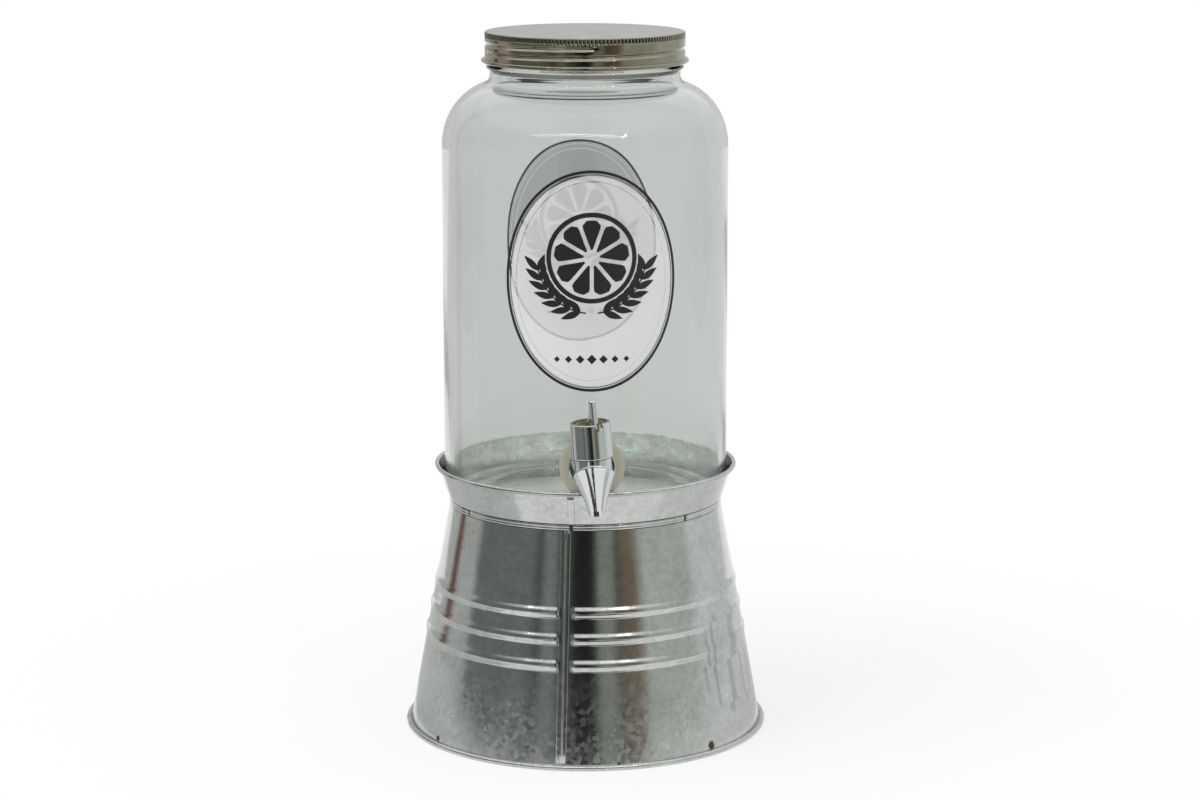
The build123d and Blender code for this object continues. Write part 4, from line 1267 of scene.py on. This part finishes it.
class DISPENSER_OT_stage(bpy.types.Operator):
    """Pale floor, soft studio light with a dark room in front, and the camera"""

    bl_idname = "dispenser.stage"
    bl_label = "Stage"

    def execute(self, context):
        scene = context.scene
        settings = scene.dispenser_stage
        scene.view_settings.view_transform = "Standard"
        self.floor(settings)
        self.cards(settings)
        self.world(scene)
        self.lamps(scene)
        camera = bpy.data.cameras.new("camera")
        camera.lens = settings.lens
        camera.sensor_width = 36
        camera.clip_start = 0.05
        camera.clip_end = 50
        eye = bpy.data.objects.new("camera", camera)
        eye.location = settings.camera_place
        eye.rotation_euler = Euler((math.pi / 2 - settings.camera_pitch, 0, settings.camera_yaw))
        scene.collection.objects.link(eye)
        scene.camera = eye
        return {"FINISHED"}

    def floor(self, settings):
        """Matt paper floor that stays white to the eye and still takes the object's shadow."""
        finish, tree, place = new_finish("paper_floor_matt")
        path = add_node(tree, "LightPath").outputs
        seen = add_node(
            tree, "Math", {0: path["Is Camera Ray"], 1: path["Is Glossy Ray"]}, operation="MAXIMUM"
        )
        seen = add_node(tree, "Math", {0: seen, 1: path["Is Transmission Ray"]}, operation="MAXIMUM")
        away = add_node(tree, "VectorMath", {0: place}, operation="LENGTH").outputs["Value"]
        near, far = SHADOW_REACH
        open_floor = add_node(
            tree, "MapRange",
            {"Value": away, "From Min": near, "From Max": far, "To Min": LEAST_WHITE, "To Max": 1.0},
            interpolation_type="SMOOTHSTEP",
        )
        share = add_node(tree, "Math", {0: seen, 1: open_floor}, operation="MULTIPLY")
        paper = add_node(tree, "BsdfDiffuse", {"Color": settings.floor})
        behind_glass = add_node(
            tree, "Math", {0: path["Is Transmission Ray"], 1: GLASS_SHADE, 2: 1.0}, operation="MULTIPLY_ADD"
        )
        white = add_node(tree, "Emission", {"Strength": behind_glass})
        mixed = add_node(tree, "MixShader", {0: share, 1: paper, 2: white})
        add_node(tree, "OutputMaterial", {"Surface": mixed})
        new_object("floor", FLOOR, [tuple(range(len(FLOOR)))], finish)

    def cards(self, settings):
        """Matt paper cards that only shine shows, black for the metal's front and pale for its sides."""
        grain = 3 * MM
        matt = 0.9
        finishes = {
            "paper_card_black": (linear("#2C2D2C"), linear("#232423"), grain, matt, 0.2),
            "paper_card_matt": (settings.floor, settings.floor, grain, matt, 0.1),
            "paper_card_grey": (linear("#D2D5D3"), linear("#CCCFCD"), grain, matt, 0.1),
        }
        made = {name: plain_finish(name, *looks) for name, looks in finishes.items()}
        for name, cover, left, right, front, back in CARDS:
            corners = [(left, front, MM), (right, front, MM), (right, back, MM), (left, back, MM)]
            card = new_object(name, corners, [(0, 1, 2, 3)], made[cover])
            card.visible_camera = False
            card.visible_diffuse = False
            card.visible_transmission = False
            card.visible_shadow = False

    def world(self, scene):
        """White studio with a dark room in front, which only shine shows."""
        world = bpy.data.worlds.new("studio")
        scene.world = world
        world.use_nodes = True
        tree = world.node_tree
        tree.nodes.clear()
        path = add_node(tree, "LightPath").outputs
        way = add_node(tree, "SeparateXYZ", {0: add_node(tree, "TexCoord").outputs["Generated"]}).outputs
        ahead = add_node(tree, "Math", {0: way["Y"], 1: -1.0}, operation="MULTIPLY")
        azimuth = add_node(tree, "Math", {0: way["X"], 1: ahead}, operation="ARCTAN2")
        share = add_node(tree, "MapRange", {"Value": azimuth, "From Min": -math.pi, "From Max": math.pi})
        room = add_node(tree, "ValToRGB", {0: share})
        stops = room.color_ramp.elements
        while len(stops) < len(ROOM):
            stops.new(0.5)
        for stop, (degrees, code) in zip(stops, ROOM):
            stop.position = (degrees + 180) / 360
            stop.color = linear(code)
        white = linear("#FFFFFF")
        above = add_node(
            tree, "MapRange", {"Value": way["Z"], "From Min": CEILING[0], "From Max": CEILING[1]}
        )
        shine = add_node(tree, "Mix", {"Factor": above, 6: room, 7: white}, data_type="RGBA")
        through = add_node(
            tree, "Math", {0: path["Is Transmission Ray"], 1: ROOM_LOSS, 2: 1.0}, operation="MULTIPLY_ADD"
        )
        shiny = add_node(tree, "Math", {0: path["Is Glossy Ray"], 1: through}, operation="MULTIPLY")
        seen = add_node(tree, "Mix", {"Factor": shiny, 6: white, 7: shine.outputs[2]}, data_type="RGBA")
        soft = add_node(
            tree, "Math", {0: path["Is Diffuse Ray"], 1: MATT_SHADE, 2: 1.0}, operation="MULTIPLY_ADD"
        )
        level = add_node(
            tree, "MapRange",
            {"Value": way["Z"], "From Min": DIMMED[0], "From Max": DIMMED[1], "To Max": GLASS_SHADE},
        )
        strength = add_node(
            tree, "Math", {0: path["Is Transmission Ray"], 1: level, 2: soft}, operation="MULTIPLY_ADD"
        )
        light = add_node(tree, "Background", {"Color": seen.outputs[2], "Strength": strength})
        add_node(tree, "OutputWorld", {"Surface": light})

    def lamps(self, scene):
        """Wide soft lamp above, and a long tube and a small lamp that draw the lights on the shoulder."""
        for name, place, aim, size, power, shines in LAMPS:
            lamp = bpy.data.lights.new(name, "AREA")
            lamp.shape = "RECTANGLE"
            lamp.size, lamp.size_y = size
            lamp.energy = power
            holder = bpy.data.objects.new(name, lamp)
            holder.location = place
            holder.visible_glossy = shines
            holder.visible_transmission = shines
            holder.rotation_euler = (Vector(aim) - Vector(place)).to_track_quat("-Z", "Y").to_euler()
            scene.collection.objects.link(holder)


class DISPENSER_PT_panel(bpy.types.Panel):
    """Sizes, colours and builders of the dispenser."""

    bl_idname = "DISPENSER_PT_panel"
    bl_label = "Drink dispenser"
    bl_space_type = "VIEW_3D"
    bl_region_type = "UI"
    bl_category = "Dispenser"

    def draw(self, context):
        for operator in operators:
            self.layout.operator(operator.bl_idname)
        for holder, group in settings_groups.items():
            box = self.layout.box()
            box.label(text=group.__doc__)
            for name in group.__annotations__:
                box.prop(getattr(context.scene, holder), name)


settings_groups = {
    "dispenser_stand": StandSettings,
    "dispenser_jar": JarSettings,
    "dispenser_lid": LidSettings,
    "dispenser_tap": TapSettings,
    "dispenser_stage": StageSettings,
}
operators = (
    DISPENSER_OT_stage,
    DISPENSER_OT_stand_skirt,
    DISPENSER_OT_tray,
    DISPENSER_OT_jar,
    DISPENSER_OT_jar_print,
    DISPENSER_OT_lid,
    DISPENSER_OT_tap,
    DISPENSER_OT_valve,
)


def register():
    """Make the settings, builders and panel known."""
    for holder, group in settings_groups.items():
        bpy.utils.register_class(group)
        setattr(bpy.types.Scene, holder, bpy.props.PointerProperty(type=group))
    for operator in operators:
        bpy.utils.register_class(operator)
    bpy.utils.register_class(DISPENSER_PT_panel)


def unregister():
    """Take them away again."""
    bpy.utils.unregister_class(DISPENSER_PT_panel)
    for operator in reversed(operators):
        bpy.utils.unregister_class(operator)
    for holder, group in settings_groups.items():
        delattr(bpy.types.Scene, holder)
        bpy.utils.unregister_class(group)


def main():
    """Build everything in order."""
    register()
    bpy.ops.dispenser.stage()
    bpy.ops.dispenser.stand_skirt()
    bpy.ops.dispenser.tray()
    bpy.ops.dispenser.jar()
    bpy.ops.dispenser.jar_print()
    bpy.ops.dispenser.lid()
    bpy.ops.dispenser.tap()
    bpy.ops.dispenser.valve()


if __name__ == "__main__":
    main()
